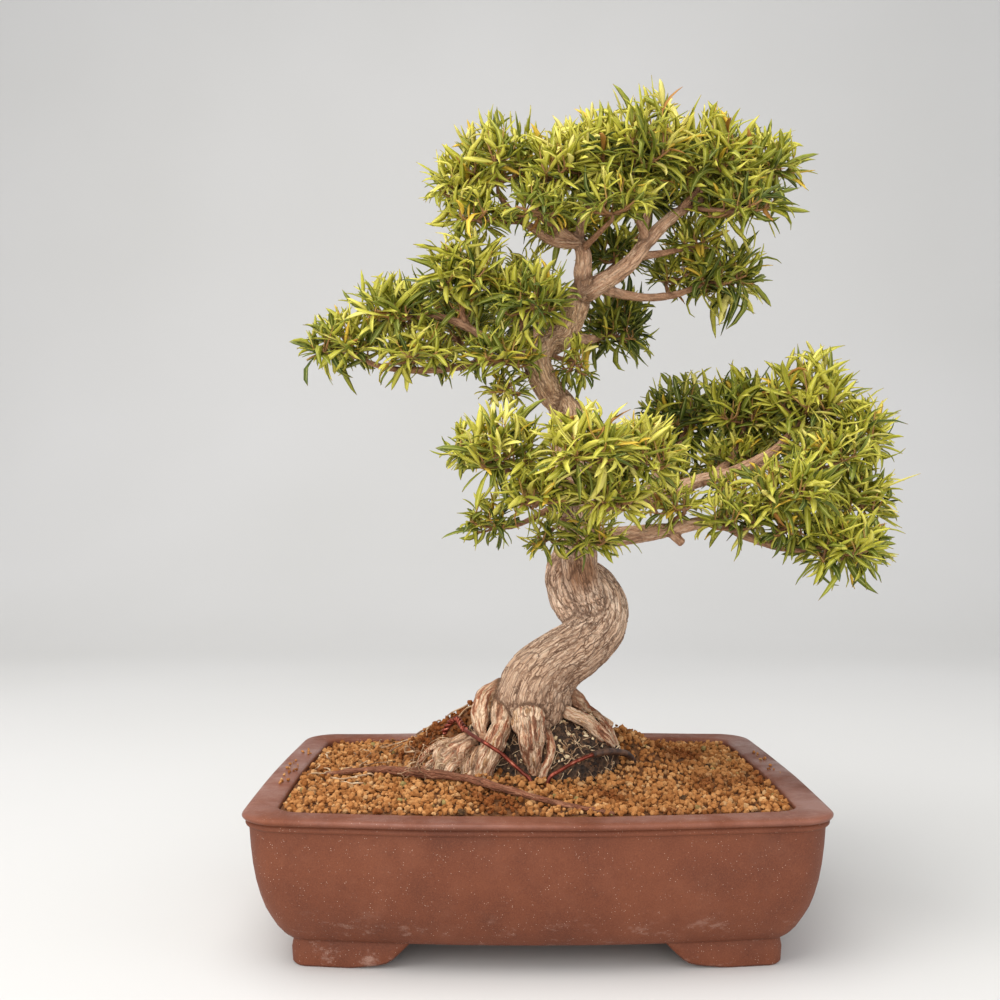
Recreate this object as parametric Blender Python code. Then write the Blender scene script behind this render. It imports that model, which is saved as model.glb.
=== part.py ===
# Willow leaf fig bonsai in an unglazed clay pot
#
# All sizes below are in millimetres and are turned into metres where the meshes are made.
# X runs to the right along the pot's long side, Y runs away from the front, Z is up.
# While it is being built, the pot's middle is at X 0, Y 0 and its feet stand at Z 0. At the
# end everything moves together, so that the origin lies under the middle of the whole tree.

import bpy
import bmesh
import random
from math import cos, exp, pi, radians, sin, sqrt
from mathutils import Vector
from mathutils.bvhtree import BVHTree

MM = 0.001
GAP = 0.3
ROOT_CLEARANCE = 0.4
SHARP_ANGLE = radians(35)

# Pot: outline, rim and floor
POT_HALF_WIDTH = 150.0
POT_HALF_DEPTH = 111.0
POT_HEIGHT = 80.5
POT_CORNER = 18.0
CORNER_TIGHTEN = 0.45
CORNER_LEAST = 6.0
FRONT_BOW = 9.0
BACK_BOW = 5.0
SIDE_BOW = 2.5
FLOOR_UNDER = 13.0
FLOOR_TOP = 22.0
# Inset from the outline and height, from the underside up to the rim's outer edge
POT_OUTSIDE = [(24.5, FLOOR_UNDER), (21.5, 14.2), (19.0, 16.5), (16.0, 20.5), (13.0, 26.0),
               (8.4, 37.5), (5.0, 54.0), (3.4, 73.0), (1.9, 74.0), (1.8, 76.4), (0.3, 77.4),
               (0.0, 79.0), (0.8, 80.0), (2.6, POT_HEIGHT)]
# The same from the rim's inner edge down to the floor
POT_INSIDE = [(15.4, POT_HEIGHT), (16.4, 79.5), (16.2, 69.0), (17.0, 54.0), (20.0, 38.0),
              (26.0, 26.0), (31.0, FLOOR_TOP)]

# Feet: four corner brackets, their height along each arm measured from the corner
FOOT_INSET = 22.5
FOOT_THICK = 11.0
FOOT_TOP = 16.0
FOOT_STEPS = [(0.0, 0.0), (10.0, 0.0), (20.0, 0.0), (28.0, 0.9), (36.0, 1.9), (42.0, 4.0),
              (46.5, 8.0), (50.0, 11.5), (53.0, 14.5)]
FOOT_SHORT_ARM = 0.85
FOOT_CORNER = 8.0
FOOT_BOW = 0.9

# Holes in the floor
DRAIN_RADIUS = 9.0
DRAIN_X = 58.0
TIE_RADIUS = 2.5
TIE_X = 26.0
TIE_Y = 32.0
HOLE_REACH = 5.0
SCREEN_SIZE = 28.0
SCREEN_THICK = 1.2
SCREEN_BAR = 2.0
SCREEN_CELLS = 3

# Soil: level at the back and front walls, then the mounds (height, x, y, x radius, y radius)
SOIL_BACK = 77.3
SOIL_FRONT = 79.5
SOIL_WALL_GAP = 0.45
SOIL_MOUNDS = [(6.0, -30.0, -30.0, 55.0, 38.0), (36.0, -25.0, 30.0, 46.0, 32.0),
               (19.0, 54.0, 22.0, 30.0, 34.0)]
SOIL_RINGS = [0.86, 0.7, 0.52, 0.34, 0.16]

# The ball of old soil that the roots clasp
BALL_MIDDLE = (3.0, 1.0, 76.5)
BALL_RADII = (51.0, 36.0, 44.0)
BALL_SIDES = 14
BALL_RINGS = 8
# Waves around the ball: how many, their turn from ring to ring, and their share of the radius
BALL_WAVES = ((3, 1.3, 0.035), (5, -2.1, 0.03))

# Wood: each route is a list of (x, y, z, radius)
TRUNK = {
    "lower": [(0, -2, 92.5, 8), (0, -5, 104.5, 15), (0, -7, 113.5, 20.2), (0.5, -8, 122.5, 22.6),
              (4, -8, 133.5, 21.3), (14, -7, 144.5, 18.6), (28, -4, 153.5, 17.5), (39, 0, 164.5, 17.6),
              (41, 3, 175.5, 17.1), (36, 6, 185.5, 16), (29, 8, 193.5, 13)],
    "fold": [(27, 5, 168.5, 11), (19, 4, 180.5, 11.2), (16, 2, 193.5, 10), (21, 0, 206.5, 9)],
    "middle": [(34, -8, 178.5, 11), (29, -10, 190.5, 12.1), (27, -8, 202.5, 11.6), (26, -4, 217.5, 10.5),
               (25, -2, 228.5, 10.5), (22, 0, 240.5, 10), (21, 0, 252.5, 10), (21, 0, 264.5, 10),
               (22, -1, 273.5, 9.9), (23, -2, 284.5, 9.4), (21, 0, 293.5, 7.5)],
    "upper": [(24, 4, 279.5, 8), (19, 4, 292.5, 9.1), (12, 3, 300.5, 8.5), (6, -3, 309.5, 8.5),
              (3, -5, 318.5, 8.4), (8, 2, 328.5, 7.9), (18, 9, 334.5, 7.7), (27, 10, 344.5, 7.4),
              (32, 4, 353.5, 7.1), (34, 0, 364.5, 6.8)],
}
LIMBS = {
    "left_stem": [(34, 0, 358.5, 6.2), (32, -2, 371.5, 5.3), (30, -4, 382.5, 4.7), (25, -6, 391.5, 4)],
    "right_limb": [(34, 0, 358.5, 6.4), (42, -2, 365.5, 5.5), (49, -4, 369.5, 5.2), (57, -6, 375.5, 4.9),
                   (66, -8, 386.5, 4.6), (76, -8, 397.5, 4), (87, -8, 406.5, 3.4), (103, -6, 415.5, 2.7),
                   (122, -4, 421.5, 2), (130, -4, 424.5, 1.7)],
    "lead_b1": [(27, -6, 387.5, 3.8), (12, -10, 387.5, 3), (1, -14, 393.5, 2.6), (-10, -16, 400.5, 2.3),
                (-18, -16, 410.5, 1.7)],
    "lead_b2": [(-8, -16, 399.5, 2.2), (-22, -18, 402.5, 1.9), (-34, -16, 408.5, 1.5)],
    "lead_a0": [(27, -6, 388.5, 3.6), (16, -12, 392.5, 2.9), (7, -20, 397.5, 2.5), (2, -24, 404.5, 2),
                (4, -26, 412.5, 1.6)],
    "lead_a1": [(27, -5, 387.5, 3.5), (29, -8, 398.5, 2.9), (34, -14, 409.5, 2.3), (38, -18, 418.5, 1.6)],
    "lead_a2": [(67, -8, 386.5, 3.4), (63, -14, 395.5, 2.6), (57, -20, 404.5, 2.3), (56, -24, 415.5, 1.6)],
    "lead_a3": [(84, -8, 404.5, 2.8), (92, -12, 412.5, 2.1), (98, -12, 419.5, 1.6)],
    "lead_a5": [(64, -6, 383.5, 3.4), (69, 16, 403.5, 2.8), (75, 36, 422.5, 2.4), (78, 46, 435.5, 1.7)],
    "lead_a6": [(78, -6, 398.5, 3), (96, 16, 416.5, 2.4), (110, 34, 432.5, 1.7)],
    "lead_c": [(5, -4, 321.5, 4.4), (-13, -12, 323.5, 3.2), (-27, -18, 329.5, 2.8), (-41, -20, 337.5, 2.5),
               (-54, -16, 342.5, 2), (-62, -12, 343.5, 1.6)],
    "lead_c1": [(2, -5, 319.5, 3.6), (-24, -10, 317.5, 2.7), (-52, -8, 313.5, 2.4), (-77, -5, 313.5, 2),
                (-94, -3, 317.5, 1.7), (-104, -2, 323.5, 1.4)],
    "lead_c3": [(-36, -19, 334.5, 2.4), (-40, -21, 342.5, 1.9), (-40, -21, 350.5, 1.5)],
    "lead_c4": [(-8, -10, 322.5, 2.6), (-8, -20, 330.5, 2), (-5, -26, 338.5, 1.5)],
    "lead_k": [(6, 2, 323.5, 3.8), (5, 28, 338.5, 3.1), (4, 48, 353.5, 1.8)],
    "lead_g": [(20, 10, 335.5, 4), (36, 30, 337.5, 3.1), (46, 44, 341.5, 1.8)],
    "lead_f": [(36, 1, 364.5, 3.8), (52, 6, 360.5, 3), (69, 12, 359.5, 2.6), (87, 18, 362.5, 2.4),
               (102, 22, 368.5, 1.7)],
    "lead_f2": [(60, -5, 379.5, 3), (79, 4, 384.5, 2), (90, 12, 388.5, 1.5)],
    "right_low": [(27, -3, 216.5, 6), (41, -10, 217.5, 5), (62, -18, 219.5, 4.6), (77, -22, 220.5, 4.3),
                  (94, -24, 224.5, 3.7), (106, -24, 225.5, 3.2), (113, -30, 219.5, 2.8),
                  (129, -36, 212.5, 2.4), (144, -40, 209.5, 2), (154, -41, 210.5, 1.6)],
    "lead_e6": [(101, -24, 225.5, 3), (114, -30, 232.5, 2.4), (126, -40, 236.5, 1.6)],
    "right_high": [(23, 1, 229.5, 6.4), (46, 6, 234.5, 5.1), (64, 8, 238.5, 4.9), (78, 8, 241.5, 4.7),
                   (100, 6, 249.5, 4.1), (117, 4, 253.5, 3.8), (134, 0, 261.5, 3.3), (144, -2, 268.5, 2.8),
                   (155, -2, 280.5, 1.8)],
    "lead_e2": [(107, 6, 251.5, 3), (118, 14, 260.5, 2.6), (126, 20, 270.5, 2.2), (129, 22, 278.5, 1.6)],
    "lead_e4": [(131, 1, 259.5, 3), (151, 0, 255.5, 2.6), (169, 0, 259.5, 2.2), (180, 0, 265.5, 1.6)],
    "lead_e5": [(160, 0, 257.5, 2.2), (172, -4, 249.5, 1.9), (181, -8, 240.5, 1.5)],
    "lead_e1": [(67, 8, 239.5, 3.8), (82, 30, 257.5, 3.2), (93, 44, 270.5, 2.7), (98, 50, 280.5, 1.7)],
    "front": [(22, 0, 236.5, 5.4), (18, -30, 243.5, 3.6), (14, -50, 247.5, 2.9), (16, -68, 250.5, 2.2),
              (19, -78, 253.5, 1.6)],
    "lead_d1": [(14, -48, 246.5, 2.6), (2, -60, 244.5, 2.3), (-12, -68, 250.5, 1.7)],
    "lead_d4": [(-7, -65, 247.5, 1.8), (-22, -66, 254.5, 1.7), (-32, -63, 261.5, 1.4)],
    "lead_d3": [(15, -50, 246.5, 2.6), (29, -62, 241.5, 2.3), (44, -66, 243.5, 1.8), (50, -66, 249.5, 1.5)],
    "lead_d5": [(17, -6, 236.5, 3), (6, -30, 230.5, 2), (-8, -44, 223.5, 1.6), (-16, -49, 221.5, 1.3)],
    "lead_d6": [(40, -9, 217.5, 2.6), (37, -22, 215.5, 1.8), (32, -33, 214.5, 1.4)],
    "lead_h": [(23, 2, 246.5, 4.4), (34, 34, 256.5, 3.2), (46, 56, 264.5, 1.8)],
    "lead_b3": [(-5, -15.5, 397.5, 2), (-18, -22, 395.5, 1.7), (-28, -26, 394.5, 1.4)],
    "lead_a7": [(14, -13, 393, 2.1), (10, -24, 392.5, 1.7), (8, -32, 393.5, 1.4)],
    "lead_a8": [(30, -6, 384.5, 2.4), (36, -22, 387.5, 1.8), (42, -34, 391.5, 1.4)],
    "lead_a9": [(90, -8, 407.5, 2.1), (100, -16, 404.5, 1.7), (110, -20, 402.5, 1.4)],
    "lead_a10": [(31, -2, 380.5, 2.6), (28, 16, 390.5, 2), (28, 28, 398.5, 1.5)],
    "lead_k2": [(18, 8, 334.5, 3.2), (4, 6, 348.5, 2.3), (-6, 3, 362.5, 1.6)],
    "lead_c5": [(-46, -8, 314.5, 1.8), (-52, -14, 317.5, 1.6), (-58, -16, 319.5, 1.3)],
    "lead_c6": [(-10, -11, 323, 2.2), (-13, -17, 319.5, 1.7), (-15, -22, 316.5, 1.4)],
    "lead_c7": [(-22, -9, 317.5, 2.2), (-34, 10, 324.5, 1.8), (-42, 26, 332.5, 1.4)],
    "lead_f3": [(84, 17, 362, 2), (84, 23, 365.5, 1.6), (84, 28, 369.5, 1.3)],
    "lead_d7": [(13, -52, 246.5, 2.1), (6, -64, 239.5, 1.7), (1, -70, 234.5, 1.4)],
    "lead_d8": [(27, -61, 241.5, 1.9), (32, -68, 236.5, 1.6), (35, -73, 232.5, 1.3)],
    "lead_e7": [(108, 6, 251, 2.2), (114, 14, 252.5, 1.7), (119, 19, 253.5, 1.4)],
    "lead_e8": [(150, 0, 255.5, 2), (157, -8, 254.5, 1.6), (162, -14, 253.5, 1.3)],
    "lead_e9": [(96, -24, 225, 2.1), (103, -33, 222.5, 1.7), (108, -38, 220.5, 1.4)],
    "lead_e10": [(146, -40, 209.5, 1.7), (166, -26, 205.5, 1.5), (180, -24, 203.5, 1.3)],
    "lead_e11": [(119, 15, 261.5, 2.1), (132, 30, 264.5, 1.7), (142, 40, 268.5, 1.4)],
    "lead_a11": [(36, 0, 367, 2.8), (44, 14, 374, 2.1), (50, 24, 381, 1.5)],
    "stub_low": [(76, -21, 220.5, 3.2), (84, -26, 212.5, 2.6)],
    "stub_front": [(8, -56, 245.5, 2.4), (2, -52, 237.5, 2.1)],
}
ROOTS = {
    "thumb": [(-2, -12, 120.7, 7.5), (-2.4, -23, 117.5, 9.3), (-2.3, -29, 113.6, 9.8),
              (-1.8, -32, 106.9, 8.6), (-1.3, -33, 99.9, 6.8), (-0.7, -33, 93.8, 4.6),
              (-0.4, -32, 88.5, 3.4), (-0.4, -31, 81.1, 2.8)],
    "left": [(-17, -10, 122.1, 5.4), (-17.6, -20, 117, 5.9), (-18.2, -25, 112.2, 5.8),
             (-21, -29, 105.7, 6.2), (-24.9, -32, 97.4, 6.8), (-28.2, -34, 89, 6.5),
             (-29.9, -34, 76.3, 5.6)],
    "left_outer": [(-19.8, -4, 135.1, 4.2), (-23.3, -5, 130, 4.4), (-26.8, -9, 124.8, 5.2),
                   (-29.6, -15, 117.8, 5.8), (-30.1, -19, 111.7, 5.2), (-28.9, -22, 106, 3.2),
                   (-27.2, -24, 101.4, 2)],
    "far_left": [(-22.7, -8, 109.1, 6), (-30.2, -13, 103.7, 4.2), (-36.3, -19, 99.9, 4.4),
                 (-40.7, -23, 97.9, 4.8), (-45.7, -25, 97.6, 3.4), (-51.3, -27, 94.1, 2.4),
                 (-57.9, -29, 90.1, 1.9), (-64.5, -30, 85.3, 1.6)],
    "far_left_mid": [(-39.7, -22, 99.8, 2.8), (-44, -27, 95.8, 2.3), (-48.9, -30, 90.9, 2),
                     (-54.4, -31, 83.3, 1.7)],
    "far_left_low": [(-35.7, -22, 100.4, 3), (-37.2, -28, 94.3, 2.6), (-38.3, -31, 88.3, 2.6),
                     (-38.8, -32, 81.3, 2.4)],
    "right_low": [(9, -10, 122.1, 6.3), (16, -17, 118.7, 5), (22.7, -19, 115.7, 4.1),
                  (29.6, -18, 112.1, 3.8), (36.8, -15, 105.2, 3.8), (42.9, -11, 98.7, 3.5),
                  (46.7, -8, 91.7, 2.8), (47.9, -7, 82.2, 2.3)],
    "right_high": [(19.9, -2, 125.5, 4.8), (26.6, 2, 120.1, 4.4), (33.3, 5, 114.3, 3.6),
                   (39.4, 7, 109.8, 2.8), (44.3, 8, 106.4, 2.3), (48.4, 8, 104.6, 1.7)],
    "right_edge": [(33.3, 5, 114.3, 3), (40.4, 5, 108.4, 2.8), (45.4, 2, 102.5, 2.5), (48.6, -1, 95.5, 2.4),
                   (50.7, -3, 88.3, 2.1), (51.9, -3, 80.1, 1.8)],
    "pale": [(6.8, -20, 109, 2.2), (9.2, -29, 104.1, 2.3), (9.6, -32, 99.1, 2.7),
             (8.4, -34, 94, 2.7), (6, -36, 89.5, 2.6), (3.3, -36, 82.3, 2)],
    "back_left": [(-4, 6, 118.5, 13), (-14, 20, 111.5, 9.5), (-24, 32, 104.5, 7), (-31, 42, 94.5, 5.4),
                  (-35, 48, 80.5, 4.4)],
    "back_middle": [(2, 8, 117.5, 12), (1, 26, 110.5, 8), (4, 40, 99.5, 6.4), (8, 50, 88.5, 5.2),
                    (10, 56, 74.5, 4.2)],
    "back_right": [(8, 6, 118.5, 12.5), (20, 20, 111.5, 9), (31, 33, 102.5, 6.8), (39, 44, 91.5, 5.4),
                   (43, 50, 76.5, 4.4)],
    "surface": [(-112, -12, 79.9, 1.4), (-92, -11, 81.4, 1.6), (-74, -16, 83.5, 1.8),
                (-52, -28, 85.7, 1.9), (-35, -42, 85.4, 1.8), (-14, -62, 82.7, 1.6), (13, -80, 80.5, 1.3),
                (38, -91, 79.7, 1.1)],
}
TRUNK_SIDES = 10
LIMB_SIDES = 5
ROOT_SIDES = 6

# Wires that tie the tree down
WIRE_LEFT = [(-39.3, -16, 107.1, 1.1), (-33.3, -28, 105.5, 1.1), (-27.6, -38.9, 104.4, 1.1),
             (-22.6, -41, 101.6, 1.1), (-18.3, -41.5, 98.9, 1.1), (-12.3, -43, 93.8, 1.1),
             (-6.9, -45, 89.4, 1.1), (-2.6, -47, 85.5, 1.1), (-1.5, -48, 76.5, 1.1)]
WIRE_TWIST = [(-38.7, -17, 106.8, 1.5), (-41.2, -8, 108.5, 1.9), (-43.8, -2, 110.3, 1.9),
              (-48, 2, 107.2, 1.9), (-51.7, 4, 100.9, 1.5)]
WIRE_RIGHT = [(6.1, -46, 76, 1.1), (7.8, -46, 86.3, 1.1), (13.8, -44, 90.2, 1.1),
              (20.6, -41, 93.4, 1.1), (26.9, -37, 95.2, 1.1), (32.3, -33, 96.3, 1.1)]
SLEEVE = [(32.4, -32.9, 96.3, 1.9), (40, -27.5, 96.5, 1.9), (48.1, -20.5, 95, 1.9),
          (54.7, -13, 91.6, 1.9), (58.8, -8, 84.8, 1.9), (59.5, -7, 74.1, 1.9)]
WIRE_SIDES = 6

# Foliage pads: the limb that carries each, its middle, and its half sizes in X, Y and Z
PADS = {
    "crown_left": ("lead_a0", (15, -28, 424.5), (22, 20, 19)),
    "crown_front": ("lead_a1", (41, -20, 432.5), (26, 22, 22)),
    "crown_top": ("lead_a2", (63, -28, 439.5), (27, 24, 26)),
    "crown_right": ("lead_a3", (103, -12, 436.5), (29, 25, 23)),
    "crown_tip": ("right_limb", (142, -5, 436.5), (24, 22, 21)),
    "crown_back": ("lead_a5", (77, 46, 451.5), (34, 28, 24)),
    "crown_back_right": ("lead_a6", (118, 44, 446.5), (30, 26, 22)),
    "left_top": ("lead_b1", (-19, -16, 434.5), (26, 22, 20)),
    "left_top_tip": ("lead_b2", (-46, -15, 418.5), (20, 18, 17)),
    "left_tip": ("lead_c1", (-116, -1, 334.5), (23, 22, 17)),
    "left_shelf": ("lead_c", (-79, -8, 348.5), (26, 24, 19)),
    "left_crest": ("lead_c3", (-39, -22, 365.5), (27, 24, 22)),
    "left_inner": ("lead_c4", (-2, -30, 350.5), (22, 20, 18)),
    "left_back": ("lead_k", (0, 60, 366.5), (28, 25, 22)),
    "inner_back": ("lead_g", (54, 54, 351.5), (24, 22, 22)),
    "right_shelf": ("lead_f", (116, 26, 378.5), (24, 22, 19)),
    "right_shelf_inner": ("lead_f2", (99, 16, 395.5), (17, 16, 12)),
    "front_left": ("lead_d1", (-18, -74, 262.5), (23, 20, 19)),
    "front_middle": ("front", (24, -92, 262.5), (24, 20, 19)),
    "front_right": ("lead_d3", (56, -70, 260.5), (19, 18, 18)),
    "front_left_tip": ("lead_d4", (-42, -62, 268.5), (15, 15, 13)),
    "low_left": ("lead_d5", (-28, -54, 224.5), (17, 14, 11)),
    "low_middle": ("lead_d6", (28, -44, 215.5), (14, 13, 10)),
    "right_back": ("lead_e1", (99, 55, 294.5), (26, 24, 23)),
    "right_inner": ("lead_e2", (130, 26, 294.5), (25, 22, 22)),
    "right_crest": ("right_high", (163, 0, 299.5), (27, 24, 24)),
    "right_tip": ("lead_e4", (193, 0, 278.5), (23, 22, 22)),
    "right_droop": ("lead_e5", (194, -10, 236.5), (24, 22, 23)),
    "right_front": ("lead_e6", (138, -52, 242.5), (25, 20, 19)),
    "right_low": ("right_low", (166, -44, 212.5), (25, 22, 18)),
    "middle_back": ("lead_h", (55, 68, 272.5), (25, 24, 22)),
    "crown_low_left": ("lead_b3", (-37, -24, 399.5), (24, 20, 14)),
    "crown_low_middle": ("lead_a7", (6, -38, 400.5), (24, 18, 14)),
    "crown_low_front": ("lead_a8", (46, -42, 400.5), (24, 18, 15)),
    "crown_low_right": ("lead_a9", (121, -20, 407.5), (26, 20, 13)),
    "crown_low_back": ("lead_a10", (28, 36, 412.5), (26, 22, 18)),
    "crown_fork": ("lead_a11", (55, 33, 393), (20, 16, 13)),
    "left_inner_top": ("lead_k2", (-10, 2, 377.5), (20, 18, 14)),
    "left_low": ("lead_c5", (-62, -17, 327.5), (25, 20, 12)),
    "left_low_inner": ("lead_c6", (-17, -26, 323.5), (22, 18, 12)),
    "left_back_tip": ("lead_c7", (-48, 38, 348.5), (25, 22, 18)),
    "right_shelf_low": ("lead_f3", (84, 31, 380.5), (19, 18, 13)),
    "front_low": ("lead_d7", (-3, -78, 239.5), (23, 17, 14)),
    "front_low_right": ("lead_d8", (37, -80, 238.5), (21, 17, 14)),
    "right_mid": ("lead_e7", (122, 24, 264.5), (24, 21, 13)),
    "right_mid_tip": ("lead_e8", (166, -19, 263.5), (23, 18, 15)),
    "right_low_inner": ("lead_e9", (112, -42, 227.5), (21, 17, 12)),
    "right_low_tip": ("lead_e10", (197, -25, 208.5), (19, 17, 17)),
    "right_behind": ("lead_e11", (150, 48, 280.5), (24, 22, 20)),
}
SHOOTS = 3
SHOOT_REACH = (0.51, 0.66)
SHOOT_RADIUS = 1.1
SHOOT_TAPER = (0.85, 0.8, 0.6)
SHOOT_SIDES = 4
SHOOT_STEPS = 10
SHOOT_SAG = 1.5
SHOOT_SHORTER = (1.0, 0.75, 0.5)
STEM_LENGTH = 3.0
STEM_TO_MIDDLE = 0.35
STEM_FORKS = (0.97, 0.5)
SPREAD_DEPTH = 1.35
# Where the leaves leave a shoot, and their lean from it in degrees at its foot and at its tip
LEAF_SHARES = (0.55, 1.0)
LEAF_LEAN = (66.0, 30.0)
LEAF_LEAN_DRAW = (0.85, 1.15)
LEAF_OUTWARD = 0.35
LEAF_SINK = 0.08
LEAF_LENGTH = (22.0, 30.0)
LEAF_WIDTH = (4.1, 5.3)
LEAF_WIDEST = 0.45
LEAF_DROOP = 0.05
LEAF_THICK = 0.9
LEAF_ROOT = 1.8
LEAF_TRIES = 4
LEAF_TRIMS = 3
LEAF_TRIM = 0.9
PAD_REACH = 1.14
GOLDEN = radians(137.5)

# Colours, roughness and metallic value of each material
CLAY = ((0.24, 0.082, 0.043), 0.75, 0.0)
AKADAMA = ((0.50, 0.27, 0.10), 0.95, 0.0)
OLD_SOIL = ((0.055, 0.036, 0.024), 1.0, 0.0)
BARK = ((0.48, 0.34, 0.24), 0.85, 0.0)
LEAF = ((0.16, 0.24, 0.04), 0.5, 0.0)
COPPER = ((0.36, 0.07, 0.035), 0.35, 1.0)
DARK_PLASTIC = ((0.02, 0.015, 0.012), 0.5, 0.0)
SCREEN_PLASTIC = ((0.02, 0.02, 0.02), 0.6, 0.0)


def material(name, look):
    """A Principled material with one colour, roughness and metallic value."""
    colour, roughness, metallic = look
    mat = bpy.data.materials.new(name)
    mat.use_nodes = True
    shader = mat.node_tree.nodes["Principled BSDF"]
    shader.inputs["Base Color"].default_value = (*colour, 1.0)
    shader.inputs["Roughness"].default_value = roughness
    shader.inputs["Metallic"].default_value = metallic
    mat.diffuse_color = (*colour, 1.0)
    return mat


def split_quads(faces):
    """Each four-sided face as two triangles, so that a fatter copy is cut along the same lines."""
    split = []
    for face in faces:
        if len(face) == 4:
            a, b, c, d = face
            split += [(a, b, c), (a, c, d)]
        else:
            split.append(face)
    return split


def add_object(name, verts, faces, mat):
    """An object made from points in millimetres."""
    mesh = bpy.data.meshes.new(name)
    mesh.from_pydata([Vector(v) * MM for v in verts], [], faces)
    mesh.materials.append(mat)
    obj = bpy.data.objects.new(name, mesh)
    bpy.context.scene.collection.objects.link(obj)
    mesh.shade_smooth()
    mesh.set_sharp_from_angle(angle=SHARP_ANGLE)
    return obj


def smooth_route(route, steps):
    """Points and radii on a smooth curve through the route's own points."""
    pts = [Vector(p[:3]) for p in route]
    radii = [p[3] for p in route]
    last = len(pts) - 1
    out = []
    for i in range(last):
        a, b = pts[max(i - 1, 0)], pts[i]
        c, d = pts[i + 1], pts[min(i + 2, last)]
        for k in range(steps):
            t = k / steps
            p = 0.5 * (2 * b + (c - a) * t + (2 * a - 5 * b + 4 * c - d) * t * t
                       + (3 * b - 3 * c + d - a) * t ** 3)
            out.append((p, radii[i] + (radii[i + 1] - radii[i]) * t))
    out.append((pts[last], radii[last]))
    return out


def tube(route, sides, steps=1, extra=0.0):
    """A closed tube along a route, with flat ends; extra makes it fatter and longer."""
    line = smooth_route(route, steps)
    if extra:
        first, second = line[0], line[1]
        line[0] = (first[0] + (first[0] - second[0]).normalized() * extra, first[1])
        end, before = line[-1], line[-2]
        line[-1] = (end[0] + (end[0] - before[0]).normalized() * extra, end[1])
    verts = []
    side = None
    for i, (p, radius) in enumerate(line):
        ahead = line[min(i + 1, len(line) - 1)][0] - line[max(i - 1, 0)][0]
        ahead.normalize()
        if side is None:
            side = ahead.orthogonal()
        side = (side - ahead * side.dot(ahead)).normalized()
        across = ahead.cross(side)
        for k in range(sides):
            turn = 2 * pi * k / sides
            verts.append(p + (side * cos(turn) + across * sin(turn)) * (radius + extra))
    faces = [tuple(reversed(range(sides)))]
    for i in range(len(line) - 1):
        for k in range(sides):
            a, b = i * sides + k, i * sides + (k + 1) % sides
            faces.append((a, b, b + sides, a + sides))
    start = (len(line) - 1) * sides
    faces.append(tuple(range(start, start + sides)))
    return verts, faces


def apply_modifiers(obj):
    """Bake the object's modifiers into its mesh."""
    depsgraph = bpy.context.evaluated_depsgraph_get()
    baked = bpy.data.meshes.new_from_object(obj.evaluated_get(depsgraph))
    old = obj.data
    obj.modifiers.clear()
    obj.data = baked
    bpy.data.meshes.remove(old)


def remove(objects):
    for obj in objects:
        bpy.data.objects.remove(obj)


def main_body(obj):
    """Keep only the biggest closed piece: drops scraps and fills sealed hollows."""
    bm = bmesh.new()
    bm.from_mesh(obj.data)
    bm.faces.ensure_lookup_table()
    seen = set()
    bodies = []
    for face in bm.faces:
        if face.index in seen:
            continue
        seen.add(face.index)
        body, queue = [], [face]
        while queue:
            current = queue.pop()
            body.append(current)
            for edge in current.edges:
                for other in edge.link_faces:
                    if other.index not in seen:
                        seen.add(other.index)
                        queue.append(other)
        bodies.append(body)
    bodies.sort(key=len, reverse=True)
    spare = [face for body in bodies[1:] for face in body]
    bmesh.ops.delete(bm, geom=spare, context="FACES")
    bmesh.ops.recalc_face_normals(bm, faces=bm.faces)
    bm.to_mesh(obj.data)
    bm.free()


def is_closed(obj):
    """True where every edge has two faces."""
    bm = bmesh.new()
    bm.from_mesh(obj.data)
    closed = len(bm.faces) > 0 and all(len(edge.link_faces) == 2 for edge in bm.edges)
    bm.free()
    return closed


def combine(obj, others, operation):
    """One Boolean between an object and several others, which are then removed."""
    group = bpy.data.collections.new("operands")
    for other in others:
        group.objects.link(other)
    before = obj.data.copy()
    for solver in ("EXACT", "MANIFOLD"):
        cut = obj.modifiers.new("combine", "BOOLEAN")
        cut.operation = operation
        cut.operand_type = "COLLECTION"
        cut.collection = group
        cut.solver = solver
        apply_modifiers(obj)
        main_body(obj)
        if is_closed(obj):
            break
        if solver == "EXACT":
            obj.data = before.copy()
    remove(others)
    bpy.data.collections.remove(group)
    obj.data.shade_smooth()
    obj.data.set_sharp_from_angle(angle=SHARP_ANGLE)


def fuse(name, meshes, mat):
    """One object from several closed shapes that sink into each other."""
    parts = [add_object(name if i == 0 else "part", verts, faces, mat)
             for i, (verts, faces) in enumerate(meshes)]
    if len(parts) > 1:
        combine(parts[0], parts[1:], "UNION")
    return parts[0]


def outline(inset, corner_steps=3, long_steps=5, short_steps=4):
    """The pot's plan, a rounded box with bowed sides, pulled in by an inset."""
    half_x, half_y = POT_HALF_WIDTH - inset, POT_HALF_DEPTH - inset
    radius = max(POT_CORNER - CORNER_TIGHTEN * inset, CORNER_LEAST)
    middles = [(half_x - radius, half_y - radius), (radius - half_x, half_y - radius),
               (radius - half_x, radius - half_y), (half_x - radius, radius - half_y)]
    points = []
    for corner, (mx, my) in enumerate(middles):
        for k in range(corner_steps + 1):
            turn = (corner + k / corner_steps) * pi / 2
            points.append((mx + radius * cos(turn), my + radius * sin(turn)))
        start = points[-1]
        nx, ny = middles[(corner + 1) % 4]
        turn = (corner + 1) * pi / 2
        end = (nx + radius * cos(turn), ny + radius * sin(turn))
        steps = long_steps if corner % 2 == 0 else short_steps
        for k in range(1, steps):
            t = k / steps
            points.append((start[0] + (end[0] - start[0]) * t, start[1] + (end[1] - start[1]) * t))
    bowed = []
    for x, y in points:
        bow = FRONT_BOW if y < 0 else BACK_BOW
        bowed.append((x * (1 - SIDE_BOW / half_x * (y / half_y) ** 2),
                      y * (1 - bow / half_y * (x / half_x) ** 2)))
    return bowed


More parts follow.
